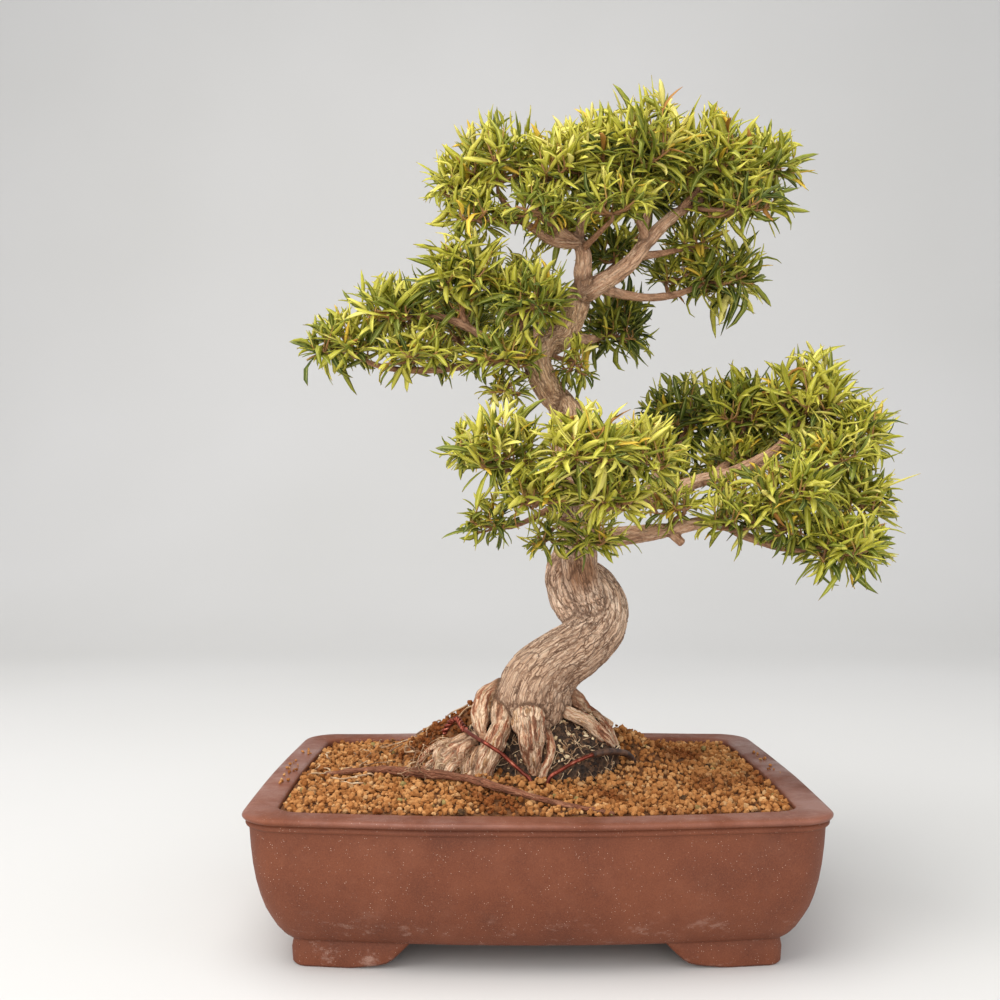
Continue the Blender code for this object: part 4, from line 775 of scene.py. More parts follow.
LIMBS = {
    "left_stem": [(30, 0, 358.5, 6.4), (30, -2, 371.5, 5.5), (30, -4, 382.5, 4.7), (25, -6, 391.5, 4)],
    "right_limb": [(31, 0, 358.5, 6.6), (42, -2, 365.5, 5.5), (49, -4, 369.5, 5.2), (57, -6, 375.5, 4.9),
        (66, -8, 386.5, 4.6), (76, -8, 397.5, 4), (87, -8, 406.5, 3.4), (103, -6, 415.5, 2.7),
        (122, -4, 421.5, 2), (130, -4, 424.5, 1.7)],
    "lead_b1": [(27, -6, 387.5, 3.8), (12, -10, 387.5, 3), (1, -14, 393.5, 2.6), (-10, -16, 400.5, 2.3),
        (-18, -16, 410.5, 1.7)],
    "lead_b2": [(-8, -16, 399.5, 2.2), (-22, -18, 402.5, 1.9), (-34, -16, 408.5, 1.5)],
    "lead_a0": [(27, -6, 388.5, 3.6), (16, -12, 392.5, 2.9), (7, -20, 397.5, 2.5), (2, -24, 404.5, 2),
        (4, -26, 412.5, 1.6)],
    "lead_a1": [(27, -5, 387.5, 3.5), (29, -8, 398.5, 2.9), (34, -14, 409.5, 2.3), (38, -18, 418.5, 1.6)],
    "lead_a2": [(67, -8, 386.5, 3.4), (63, -14, 395.5, 2.6), (57, -20, 404.5, 2.3), (56, -24, 415.5, 1.6)],
    "lead_a3": [(84, -8, 404.5, 2.8), (92, -12, 412.5, 2.1), (98, -12, 419.5, 1.6)],
    "lead_a5": [(64, -6, 383.5, 3.4), (69, 16, 403.5, 2.8), (75, 36, 422.5, 2.4), (78, 46, 435.5, 1.7)],
    "lead_a6": [(78, -6, 398.5, 3), (96, 16, 416.5, 2.4), (110, 34, 432.5, 1.7)],
    "lead_c": [(5, -4, 321.5, 4.4), (-13, -12, 323.5, 3.2), (-27, -18, 329.5, 2.8), (-41, -20, 337.5, 2.5),
        (-54, -16, 342.5, 2), (-62, -12, 343.5, 1.6)],
    "lead_c1": [(2, -5, 319.5, 3.6), (-24, -10, 317.5, 2.7), (-52, -8, 313.5, 2.4), (-77, -5, 313.5, 2),
        (-94, -3, 317.5, 1.7), (-104, -2, 323.5, 1.4)],
    "lead_c3": [(-36, -19, 334.5, 2.4), (-40, -21, 342.5, 1.9), (-40, -21, 350.5, 1.5)],
    "lead_c4": [(-8, -10, 322.5, 2.6), (-8, -20, 330.5, 2), (-5, -26, 338.5, 1.5)],
    "lead_k": [(6, 2, 323.5, 3.8), (5, 28, 338.5, 3.1), (4, 48, 353.5, 1.8)],
    "lead_g": [(20, 10, 335.5, 4), (36, 30, 337.5, 3.1), (46, 44, 341.5, 1.8)],
    "lead_f": [(36, 1, 364.5, 3.8), (52, 6, 360.5, 3), (69, 12, 359.5, 2.6), (87, 18, 362.5, 2.4),
        (102, 22, 368.5, 1.7)],
    "lead_f2": [(60, -5, 379.5, 3), (79, 4, 384.5, 2), (90, 12, 388.5, 1.5)],
    "right_low": [(27, -3, 215.5, 6.6), (41, -10, 215.8, 6), (62, -18, 218, 5.3), (77, -22, 220.5, 4.3),
        (94, -24, 224.5, 3.7), (106, -24, 225.5, 3.2), (113, -30, 219.5, 2.8), (129, -36, 212.5, 2.4),
        (144, -40, 209.5, 2), (154, -41, 210.5, 1.6)],
    "lead_e6": [(101, -24, 225.5, 3), (114, -30, 232.5, 2.4), (126, -40, 236.5, 1.6)],
    "right_high": [(23, 1, 229.5, 6.4), (46, 6, 234.5, 5.1), (64, 8, 238.5, 4.9), (78, 8, 241.5, 4.7),
        (100, 6, 249.5, 4.1), (117, 4, 253.5, 3.8), (134, 0, 261.5, 3.3), (144, -2, 268.5, 2.8),
        (155, -2, 280.5, 1.8)],
    "lead_e2": [(107, 6, 251.5, 3), (118, 14, 260.5, 2.6), (126, 20, 270.5, 2.2), (129, 22, 278.5, 1.6)],
    "lead_e4": [(131, 1, 259.5, 3), (151, 0, 255.5, 2.6), (169, 0, 259.5, 2.2), (180, 0, 265.5, 1.6)],
    "lead_e5": [(160, 0, 257.5, 2.2), (172, -4, 249.5, 1.9), (181, -8, 240.5, 1.5)],
    "lead_e1": [(67, 8, 239.5, 3.8), (82, 30, 257.5, 3.2), (93, 44, 270.5, 2.7), (98, 50, 280.5, 1.7)],
    "front": [(22, 0, 236.5, 5.4), (18, -30, 243.5, 3.6), (14, -50, 247.5, 2.9), (16, -68, 250.5, 2.2),
        (19, -78, 253.5, 1.6)],
    "lead_d1": [(14, -48, 246.5, 2.6), (2, -60, 244.5, 2.3), (-12, -68, 250.5, 1.7)],
    "lead_d4": [(-7, -65, 247.5, 1.8), (-22, -66, 254.5, 1.7), (-32, -63, 261.5, 1.4)],
    "lead_d3": [(15, -50, 246.5, 2.6), (29, -62, 241.5, 2.3), (44, -66, 243.5, 1.8), (50, -66, 249.5, 1.5)],
    "lead_d5": [(17, -6, 236.5, 3), (6, -30, 230.5, 2), (-8, -44, 223.5, 1.6), (-16, -49, 221.5, 1.3)],
    "lead_d6": [(40, -9, 217.5, 2.6), (37, -22, 215.5, 1.8), (32, -33, 214.5, 1.4)],
    "lead_h": [(23, 2, 246.5, 4.4), (34, 34, 256.5, 3.2), (46, 56, 264.5, 1.8)],
    "lead_b3": [(-5, -15.5, 397.5, 2), (-18, -22, 395.5, 1.7), (-28, -26, 394.5, 1.4)],
    "lead_a7": [(14, -13, 393, 2.1), (10, -24, 392.5, 1.7), (8, -32, 393.5, 1.4)],
    "lead_a8": [(30, -6, 384.5, 2.4), (36, -22, 387.5, 1.8), (42, -34, 391.5, 1.4)],
    "lead_a9": [(90, -8, 407.5, 2.1), (100, -16, 404.5, 1.7), (110, -20, 402.5, 1.4)],
    "lead_a10": [(31, -2, 380.5, 2.6), (28, 16, 390.5, 2), (28, 28, 398.5, 1.5)],
    "lead_k2": [(18, 8, 334.5, 3.2), (4, 6, 348.5, 2.3), (-6, 3, 362.5, 1.6)],
    "lead_c5": [(-46, -8, 314.5, 1.8), (-52, -14, 317.5, 1.6), (-58, -16, 319.5, 1.3)],
    "lead_c6": [(-10, -11, 323, 2.2), (-13, -17, 319.5, 1.7), (-15, -22, 316.5, 1.4)],
    "lead_c7": [(-22, -9, 317.5, 2.2), (-34, 10, 324.5, 1.8), (-42, 26, 332.5, 1.4)],
    "lead_f3": [(84, 17, 362, 2), (84, 23, 365.5, 1.6), (84, 28, 369.5, 1.3)],
    "lead_d7": [(13, -52, 246.5, 2.1), (6, -64, 239.5, 1.7), (1, -70, 234.5, 1.4)],
    "lead_d8": [(27, -61, 241.5, 1.9), (32, -68, 236.5, 1.6), (35, -73, 232.5, 1.3)],
    "lead_e7": [(108, 6, 251, 2.2), (114, 14, 252.5, 1.7), (119, 19, 253.5, 1.4)],
    "lead_e8": [(150, 0, 255.5, 2), (157, -8, 254.5, 1.6), (162, -14, 253.5, 1.3)],
    "lead_e9": [(96, -24, 225, 2.1), (103, -33, 222.5, 1.7), (108, -38, 220.5, 1.4)],
    "lead_e10": [(146, -40, 209.5, 1.7), (166, -26, 205.5, 1.5), (180, -24, 203.5, 1.3)],
    "lead_e11": [(119, 15, 261.5, 2.1), (132, 30, 264.5, 1.7), (142, 40, 268.5, 1.4)],
    "lead_a11": [(36, 0, 367, 2.8), (44, 14, 374, 2.1), (50, 24, 381, 1.5)],
    "sprig_right": [(74, -21, 220.5, 1.8), (79, -28, 226, 1.5), (82, -34, 229, 1.2)],
    "sprig_left": [(-2, -6, 312, 2), (-8, -10, 307, 1.5), (-12, -14, 304, 1.2)],
    "sprig_inner": [(12, 0, 322, 2), (18, -4, 320, 1.5), (22, -7, 319, 1.2)],
    "sprig_gap": [(128, -35, 213, 1.7), (133, -40, 218, 1.4), (136, -43, 221, 1.1)],
    "sprig_back": [(82, 30, 257, 2), (86, 34, 256, 1.5), (89, 36, 255, 1.2)],
    "sprig_under": [(100, 5, 249, 2), (108, -2, 246, 1.5), (112, -6, 245, 1.2)],
    "sprig_low": [(20, -6, 227, 2), (14, -18, 223, 1.5), (10, -26, 220, 1.2)],
    "stub_low": [(76, -21, 220.5, 3.2), (84, -26, 212.5, 2.6)],
    "stub_front": [(8, -56, 245.5, 2.4), (2, -52, 237.5, 2.1)],
}
ROOTS = {
    "thumb": [(-2, -12, 120.7, 7.5), (-2.4, -23, 117.5, 9.3), (-2.3, -29, 113.6, 9.8),
        (-1.8, -32, 106.9, 8.6), (-1.3, -33, 99.9, 6.8), (-0.7, -33, 93.8, 4.6), (-0.4, -32, 88.5, 3.4),
        (-0.4, -31, 81.1, 2.8)],
    "left": [(-17, -10, 122.1, 5.4), (-17.6, -20, 117, 5.9), (-18.2, -25, 112.2, 5.8),
        (-21, -29, 105.7, 6.2), (-24.9, -32, 97.4, 6.8), (-28.2, -34, 89, 6.5), (-29.9, -34, 76.3, 5.6)],
    "left_outer": [(-16.5, -5, 131.5, 4.6), (-21.6, -6, 127.5, 4.9), (-26.8, -9, 124.8, 5.2),
        (-29.6, -15, 117.8, 5.8), (-30.1, -19, 111.7, 5.2), (-28.9, -22, 106, 3.2), (-27.2, -24, 101.4, 2)],
    "far_left": [(-22.7, -8, 109.1, 6), (-30.2, -13, 103.7, 4.2), (-36.3, -19, 99.9, 4.4),
        (-40.7, -23, 97.9, 4.8), (-45.7, -25, 97.6, 3.4), (-51.3, -27, 94.1, 2.4), (-57.9, -29, 90.1, 1.9),
        (-64.5, -30, 85.3, 1.6)],
    "far_left_mid": [(-39.7, -22, 99.8, 2.8), (-44, -27, 95.8, 2.3), (-48.9, -30, 90.9, 2),
        (-54.4, -31, 83.3, 1.7)],
    "far_left_low": [(-35.7, -22, 100.4, 3), (-37.2, -28, 94.3, 2.6), (-38.3, -31, 88.3, 2.6),
        (-38.8, -32, 81.3, 2.4)],
    "tangle_high": [(-36, -14, 103, 3.2), (-43, -21, 101, 3.6), (-47, -17, 97, 3), (-53, -25, 95, 3.5),
        (-54, -30, 88, 2.4), (-60, -27, 80, 1.7)],
    "tangle_low": [(-33, -20, 100, 3), (-40, -31, 98.5, 3.2), (-41, -30, 92, 2.5), (-47, -38, 89, 2.8),
        (-46, -35, 80, 2)],
    "tangle_out": [(-43, -15, 101, 2.2), (-50, -22, 101, 2), (-57, -16, 96, 2.4), (-62, -24, 92, 1.7),
        (-65, -20, 87, 1.6), (-71, -26, 80, 1.1)],
    "tangle_in": [(-30, -26, 98, 2.6), (-33, -35, 94, 2.9), (-34, -34, 88, 2), (-37, -41, 84, 2.3),
        (-36, -39, 78, 1.6)],
    "right_low": [(9, -10, 122.1, 6.3), (16, -17, 118.7, 5), (22.7, -19, 115.7, 4.1),
        (29.6, -18, 112.1, 3.8), (36.8, -15, 105.2, 3.8), (42.9, -11, 98.7, 3.5), (46.7, -8, 91.7, 2.8),
        (47.9, -7, 82.2, 2.3)],
    "right_high": [(19.9, -2, 125.5, 4.8), (26.6, 2, 120.1, 4.4), (33.3, 5, 114.3, 3.6),
        (39.4, 7, 109.8, 2.8), (44.3, 8, 106.4, 2.3), (48.4, 8, 104.6, 1.7)],
    "right_edge": [(33.3, 5, 114.3, 3), (40.4, 5, 108.4, 2.8), (45.4, 2, 102.5, 2.5), (48.6, -1, 95.5, 2.4),
        (50.7, -3, 88.3, 2.1), (51.9, -3, 80.1, 1.8)],
    "pale": [(6.8, -20, 109, 2.2), (9.2, -29, 104.1, 2.3), (9.6, -32, 99.1, 2.7), (8.4, -34, 94, 2.7),
        (6, -36, 89.5, 2.6), (3.3, -36, 82.3, 2)],
    "back_left": [(-4, 6, 118.5, 13), (-14, 20, 111.5, 9.5), (-24, 32, 104.5, 7), (-31, 42, 94.5, 5.4),
        (-35, 48, 80.5, 4.4)],
    "back_middle": [(2, 8, 117.5, 12), (1, 26, 110.5, 8), (4, 40, 99.5, 6.4), (8, 50, 88.5, 5.2),
        (10, 56, 74.5, 4.2)],
    "back_right": [(8, 6, 118.5, 12.5), (20, 20, 111.5, 9), (31, 33, 102.5, 6.8), (39, 44, 91.5, 5.4),
        (43, 50, 76.5, 4.4)],
    "surface": [(-120, -10, 80, 1.1), (-108, -13, 82, 1.8), (-91, -18, 84.5, 2.2), (-73, -28, 86.4, 2.5),
        (-53, -42, 87.4, 2.6), (-35, -51, 87.2, 2.4), (-14, -65, 84.8, 2.1), (13, -80, 81.5, 1.7),
        (38, -91, 79.7, 1.1)],
}
WOOD_VOXEL = 0.8
WOOD_TRIANGLES = 180000
ROOT_TOP = 136.0
WAIST_HEIGHT = 180.0
WAIST_REACH = 26.0
WAIST_DEPTH = 1.8
SPLIT_WIDTH = 2.3
SPLIT_LENGTH = 13.0
SPLIT_DEPTH = 0.6
ROOT_FADE = 14.0
FLARE_TOP = 22.0
CREASE_WIDTH = 1.3
CREASE_DEPTH = 0.9
SURFACE_RADIUS = 1.5
HIGH_OVER = 240.0
THICKEST = 14.0
STEM_CURVE = 6
BLOCK = 4000
SCAR = (0.028, -0.018, 0.196)
STEM_STEP = 37.0


def smooth_route(route, steps):
    """Points and radii on a smooth curve through the route's own points."""
    stops = [Vector(p[:3]) for p in route]
    radii = [p[3] for p in route]
    last = len(stops) - 1
    line = []
    for i in range(last):
        a, b = stops[max(i - 1, 0)], stops[i]
        c, d = stops[i + 1], stops[min(i + 2, last)]
        for k in range(steps):
            t = k / steps
            p = 0.5 * (2 * b + (c - a) * t + (2 * a - 5 * b + 4 * c - d) * t * t
                       + (3 * b - 3 * c + d - a) * t ** 3)
            line.append((p, radii[i] + (radii[i + 1] - radii[i]) * t))
    line.append((stops[last], radii[last]))
    return line


def wood_mesh(lines):
    """All the stems as one skin: tubes joined and remeshed finely enough to carry the bark."""
    wood = add_piece("tree_wood", *gathered([tube(line, 16) for line in lines]), 0)
    bpy.ops.object.select_all(action="DESELECT")
    shaped(wood, "REMESH", mode="VOXEL", voxel_size=WOOD_VOXEL * MM)
    shaped(wood, "SMOOTH", factor=0.6, iterations=4)
    return wood


def along_stems(points, lines):
    """For each point: its stem, that stem's radius, its place on it, and how near the next stem is."""
    stops = []
    for owner, line in enumerate(lines):
        side, run = None, 0.0
        for i, (p, radius) in enumerate(line):
            ahead = heading(line, i)
            side = ahead.orthogonal() if side is None else side
            side = (side - ahead * side.dot(ahead)).normalized()
            if i:
                run += (p - line[i - 1][0]).length
            stops.append((*p, *ahead, *side, radius, run, owner))
    stops = np.array(stops)
    centres, heads, sides = stops[:, 0:3], stops[:, 3:6], stops[:, 6:9]
    radii, runs, owners = stops[:, 9], stops[:, 10], stops[:, 11].astype(int)
    firsts = np.flatnonzero(np.diff(owners, prepend=-1))
    nearest = np.empty(len(points), dtype=int)
    apart = np.empty(len(points))
    for start in range(0, len(points), BLOCK):
        block = points[start:start + BLOCK]
        gap = np.sqrt(((block[:, None, :] - centres[None]) ** 2).sum(2)) - radii[None]
        nearest[start:start + BLOCK] = gap.argmin(1)
        stems = np.sort(np.minimum.reduceat(gap, firsts, axis=1), axis=1)
        apart[start:start + BLOCK] = stems[:, 1] - stems[:, 0]
    offset = points - centres[nearest]
    head, side = heads[nearest], sides[nearest]
    across = np.cross(head, side)
    forward = (offset * head).sum(1)
    grain = np.stack([(offset * side).sum(1), (offset * across).sum(1),
                      runs[nearest] + forward + owners[nearest] * STEM_STEP], 1)
    return owners[nearest], radii[nearest], grain, apart


def wood_points(wood):
    """The wood's points in millimetres, as rows."""
    flat = np.empty(len(wood.data.vertices) * 3)
    wood.data.vertices.foreach_get("co", flat)
    return (flat.reshape(-1, 3) - np.array(POT_MIDDLE)) / MM


def bark_height(g, r, rooty, point):
    """How far the bark stands out at a point, and 0 to 1 for how far it is out of a split."""
    def wave(across, along, shift=0.0):
        return noise.noise(Vector((g[0] / across, g[1] / across, g[2] / along + shift)))

    drift = noise.noise_vector(Vector((g[0] / 8, g[1] / 8, g[2] / 15)))
    cell = Vector((g[0] / SPLIT_WIDTH + drift.x, g[1] / SPLIT_WIDTH + drift.y,
                   g[2] / SPLIT_LENGTH + 0.8 * drift.z))
    near = noise.voronoi(cell)[0]
    ridge = min(1.0, (near[1] - near[0]) / 0.42)
    deep = 0.55 + 0.45 * wave(12, 20, 9)
    lump, ring, flake = wave(9, 17), wave(22, 4), wave(1.7, 6)
    relief = 0.8 * lump + 0.25 * ring + 0.22 * flake - SPLIT_DEPTH * 2 * deep * (1 - ridge) ** 2
    move = min(1.0, r / 11) * relief
    if rooty:
        flute, furrow, pinch = wave(5, 26), wave(2.1, 18), wave(30, 5)
        knot = noise.noise(point / 6)
        move += min(1.0, r / 5) * (0.9 * flute + 1.3 * furrow + 0.8 * knot + 0.4 * pinch)
    return move, 1 - deep * (1 - ridge)


def wood_relief(wood, lines, root_first):
    """Press the bark's splits, flutes and gnarls into the skin, then thin it out where it is plain."""
    points = wood_points(wood)
    normals = np.array([n.vector[:] for n in wood.data.vertex_normals])
    owner, radius, grain, apart = along_stems(points, lines)
    move = -CREASE_DEPTH * np.exp(-(apart / CREASE_WIDTH) ** 2) * np.clip(radius / 8, 0, 1)
    for i in range(len(points)):
        rooty = owner[i] >= root_first or (owner[i] == 0 and grain[i][2] < FLARE_TOP)
        move[i] += bark_height(grain[i], radius[i], rooty, Vector(points[i]))[0]
        if owner[i] < len(TRUNK):
            move[i] -= WAIST_DEPTH * exp(-((points[i][2] - WAIST_HEIGHT) / WAIST_REACH) ** 2)
    wood.data.vertices.foreach_set("co", place(points + normals * move[:, None]).reshape(-1))
    wood.data.update()
    triangles = sum(len(f.vertices) - 2 for f in wood.data.polygons)
    shaped(wood, "DECIMATE", ratio=WOOD_TRIANGLES / triangles)

    points = wood_points(wood)
    owner, radius, grain, apart = along_stems(points, lines)
    surface = owner == root_first + list(ROOTS).index("surface")
    split = np.array([bark_height(grain[i], radius[i], False, None)[1] for i in range(len(points))])
    split[surface] *= 0.6
    # Painted shade: the split value is also lowered in the creases where stems meet, so the bark is coloured
    # darker there.
    split *= 1 - 0.75 * np.exp(-(apart / CREASE_WIDTH) ** 2) * np.clip(radius / 6, 0, 1)
    layer = wood.data.attributes.new("grain", "FLOAT_VECTOR", "POINT")
    layer.data.foreach_set("vector", grain.astype(np.float32).reshape(-1))
    reach = grain[:, 2] - owner * STEM_STEP
    rooty = np.where(owner >= root_first, np.clip(reach / ROOT_FADE, 0.15, 1), 0)
    rooty[surface] = 0
    thick = np.clip(np.where(surface, SURFACE_RADIUS, radius) / THICKEST, 0, 1)
    high = np.clip((points[:, 2] - ROOT_TOP) / HIGH_OVER, 0, 1)
    tint(wood, "kind", np.stack([thick, rooty, high, split], 1))
    wood.data.shade_smooth()


def bark_finish():
    """Pale bark split along the stem, roots flushed pink and straw, and a red-brown surface root."""
    n = Nodes("fig_bark")
    grain = n.add("ShaderNodeAttribute", attribute_name="grain").outputs["Vector"]
    thick, rooty, high, unsplit_and_out_of_crease_shade = n.stored("kind")
    push = n.add("ShaderNodeVectorMath", operation="MULTIPLY_ADD")
    push.inputs[1].default_value = (2.4, 2.4, 4.0)
    n.link(n.pattern("ShaderNodeTexNoise", 0.3, grain).outputs["Color"], push.inputs[0])
    n.link(grain, push.inputs[2])
    wavy = push.outputs[0]
    small = n.cells(1.0, source=wavy, stretch=(0.5, 0.5, 0.09), feature="DISTANCE_TO_EDGE")
    cracks = n.cells(1.0, source=wavy, stretch=(0.17, 0.17, 0.024), feature="DISTANCE_TO_EDGE")
    fibres = n.clouds(1.0, 4, 0.65, wavy, (0.8, 0.8, 0.13))
    streaks = n.clouds(1.0, 3, 0.6, wavy, (0.42, 0.42, 0.045))
    flakes = n.clouds(1.0, 3, 0.6, wavy, (1.5, 1.5, 0.5))
    breaks = n.mask(n.clouds(1.0, 3, 0.6, wavy, (0.28, 0.28, 0.1)), 0.36, 0.6)
    old = n.ramp(fibres, (0.3, 178, 140, 112), (0.46, 220, 186, 158), (0.6, 240, 212, 186),
                 (0.74, 248, 228, 208))
    young = n.ramp(fibres, (0.3, 152, 110, 74), (0.5, 208, 168, 126), (0.7, 240, 208, 168))
    limb = n.ramp(fibres, (0.3, 170, 126, 96), (0.5, 210, 168, 136), (0.7, 234, 202, 172))
    twig = n.ramp(fibres, (0.3, 122, 82, 58), (0.6, 182, 136, 104))
    russet = n.ramp(fibres, (0.3, 92, 48, 34), (0.5, 142, 86, 62), (0.7, 192, 140, 110))
    flush = n.ramp(streaks, (0.3, 80, 46, 30), (0.4, 152, 86, 58), (0.47, 206, 162, 128),
                   (0.55, 236, 210, 180), (0.63, 190, 144, 98), (0.72, 116, 70, 44))
    base = n.blend(n.mask(thick, 0.26, 0.14), limb, twig)
    base = n.blend(n.mask(thick, 0.4, 0.8), base, old)
    base = n.coat(base, young, 0.6, n.mask(high, 0.3, 0.6), n.mask(thick, 0.42, 0.55))
    low = n.blend(1.0, base, (224, 218, 212), "MULTIPLY")
    base = n.blend(n.mask(high, 0.16, 0.02), base, low)
    scar = n.add("ShaderNodeVectorMath", operation="DISTANCE")
    scar.inputs[1].default_value = POT_MIDDLE + Vector(SCAR)
    n.link(n.place, scar.inputs[0])
    base = n.coat(base, (146, 98, 62), 0.8, n.mask(scar.outputs["Value"], 0.014, 0.006))
    base = n.coat(base, russet, 1.0, n.mask(high, 0.02, 0.0), n.mask(thick, 0.2, 0.12))
    base = n.coat(base, flush, 0.88, rooty)
    base = n.coat(base, (158, 112, 80), 0.35, n.mask(n.clouds(60, 4, 0.6), 0.56, 0.75))
    # Darker in the bark's splits, and painted shade in the creases where stems meet.
    base = n.coat(base, (98, 66, 46), 0.6, n.mask(unsplit_and_out_of_crease_shade, 0.72, 0.3))
    broken = n.sums("ADD", n.times(breaks, 0.6), 0.3)
    base = n.coat(base, (104, 72, 52), 1.0, n.mask(small, 0.1, 0.02), n.mask(thick, 0.1, 0.75), broken)
    base = n.coat(base, (86, 58, 42), 0.75, n.mask(cracks, 0.05, 0.01), n.mask(thick, 0.3, 0.8))
    base = n.coat(base, (130, 94, 68), 0.25, n.mask(flakes, 0.4, 0.3))
    warts = n.mask(n.cells(170), 0.2, 0.1)
    base = n.coat(base, (112, 84, 66), 0.6, warts, n.mask(n.clouds(90, 2), 0.5, 0.6))
    normal = n.bump(n.mask(small, 0.0, 0.2), 0.6, 0.0009)
    normal = n.bump(fibres, 0.5, 0.001, normal)
    normal = n.bump(flakes, 0.35, 0.0004, normal)
    return n.finish(base, 0.85, normal, Specular_IOR_Level=0.25)


stem_routes = [*TRUNK.values(), *LIMBS.values(), *ROOTS.values()]
stem_lines = [smooth_route(route, STEM_CURVE) for route in stem_routes]
wood = wood_mesh(stem_lines)
wood_relief(wood, stem_lines, len(TRUNK) + len(LIMBS))
paint(wood, bark_finish(), "bark", "tree")

# Tie wires
# Copper-coloured wire that holds the roots down. One has its ends twisted together, and one runs
# into a dark rubber sleeve that keeps it from cutting the bark.
WIRE_LEFT = [(-39.3, -16, 107.1, 1.1), (-33.3, -28, 105.5, 1.1), (-27.6, -38.9, 104.4, 1.1),
             (-22.6, -41, 101.6, 1.1), (-18.3, -41.5, 98.9, 1.1), (-12.3, -43, 93.8, 1.1),
             (-6.9, -45, 89.4, 1.1), (-2.6, -47, 85.5, 1.1), (-1.5, -48, 76.5, 1.1)]
WIRE_TWIST = [(-38.7, -17, 106.8, 1.5), (-41.2, -8, 108.5, 1.9), (-43.8, -2, 110.3, 1.9),
              (-48, 2, 107.2, 1.9), (-51.7, 4, 100.9, 1.5)]
WIRE_RIGHT = [(6.1, -46, 76, 1.1), (7.8, -46, 86.3, 1.1), (13.8, -44, 90.2, 1.1),
              (20.6, -41, 93.4, 1.1), (26.9, -37, 95.2, 1.1), (32.3, -33, 96.3, 1.1)]
SLEEVE = [(32.4, -32.9, 96.3, 1.9), (40, -27.5, 96.5, 1.9), (48.1, -20.5, 95, 1.9),
          (54.7, -13, 91.6, 1.9), (58.8, -8, 84.8, 1.9), (59.5, -7, 74.1, 1.9)]
TWIST_TURNS = 5
TWIST_REACH = 1.0
STRAND_RADIUS = 0.95


def twisted(route, turns, phase):
    """One strand of a twisted pair: a helix around the route."""
    line = smooth_route(route, 14)
    strand = []
    for i, (p, radius) in enumerate(line):
        ahead = heading(line, i)
        side = ahead.orthogonal().normalized()
        turn = 2 * pi * turns * i / len(line) + phase
        out = side * cos(turn) + ahead.cross(side) * sin(turn)
        strand.append((p + out * TWIST_REACH, STRAND_RADIUS))
    return strand


def wire_finish():
    """Coppery anodised wire, scuffed and dulled with soil."""
    n = Nodes("copper_wire")
    scuff = n.clouds(240, 4)
    colour = n.ramp(scuff, (0.35, 94, 40, 30), (0.55, 140, 66, 50), (0.78, 200, 128, 106))
    return n.finish(colour, 0.38, n.bump(scuff, 0.2, 0.0002), Metallic=0.75)


def sleeve_finish():
    """Dark rubber with dust on it."""
    n = Nodes("dark_sleeve")
    dust = n.clouds(300, 4)
    colour = n.ramp(dust, (0.4, 44, 26, 20), (0.75, 112, 78, 56))
    return n.finish(colour, 0.6, n.bump(dust, 0.2, 0.0002))


copper = wire_finish()
left_shapes = [tube(smooth_route(WIRE_LEFT, 8), 12)]
left_shapes += [tube(twisted(WIRE_TWIST, TWIST_TURNS, phase), 10) for phase in (0, pi)]
wire_left = add_piece("tie_wire_left", *gathered(left_shapes))
paint(wire_left, copper, "copper", "wire_left")
wire_right = add_piece("tie_wire_right", *tube(smooth_route(WIRE_RIGHT, 8), 12))
paint(wire_right, copper, "copper", "wire_right")
sleeve = add_piece("wire_sleeve_skin", *tube(smooth_route(SLEEVE, 8), 12))
paint(sleeve, sleeve_finish(), "dark_plastic", "wire_sleeve")
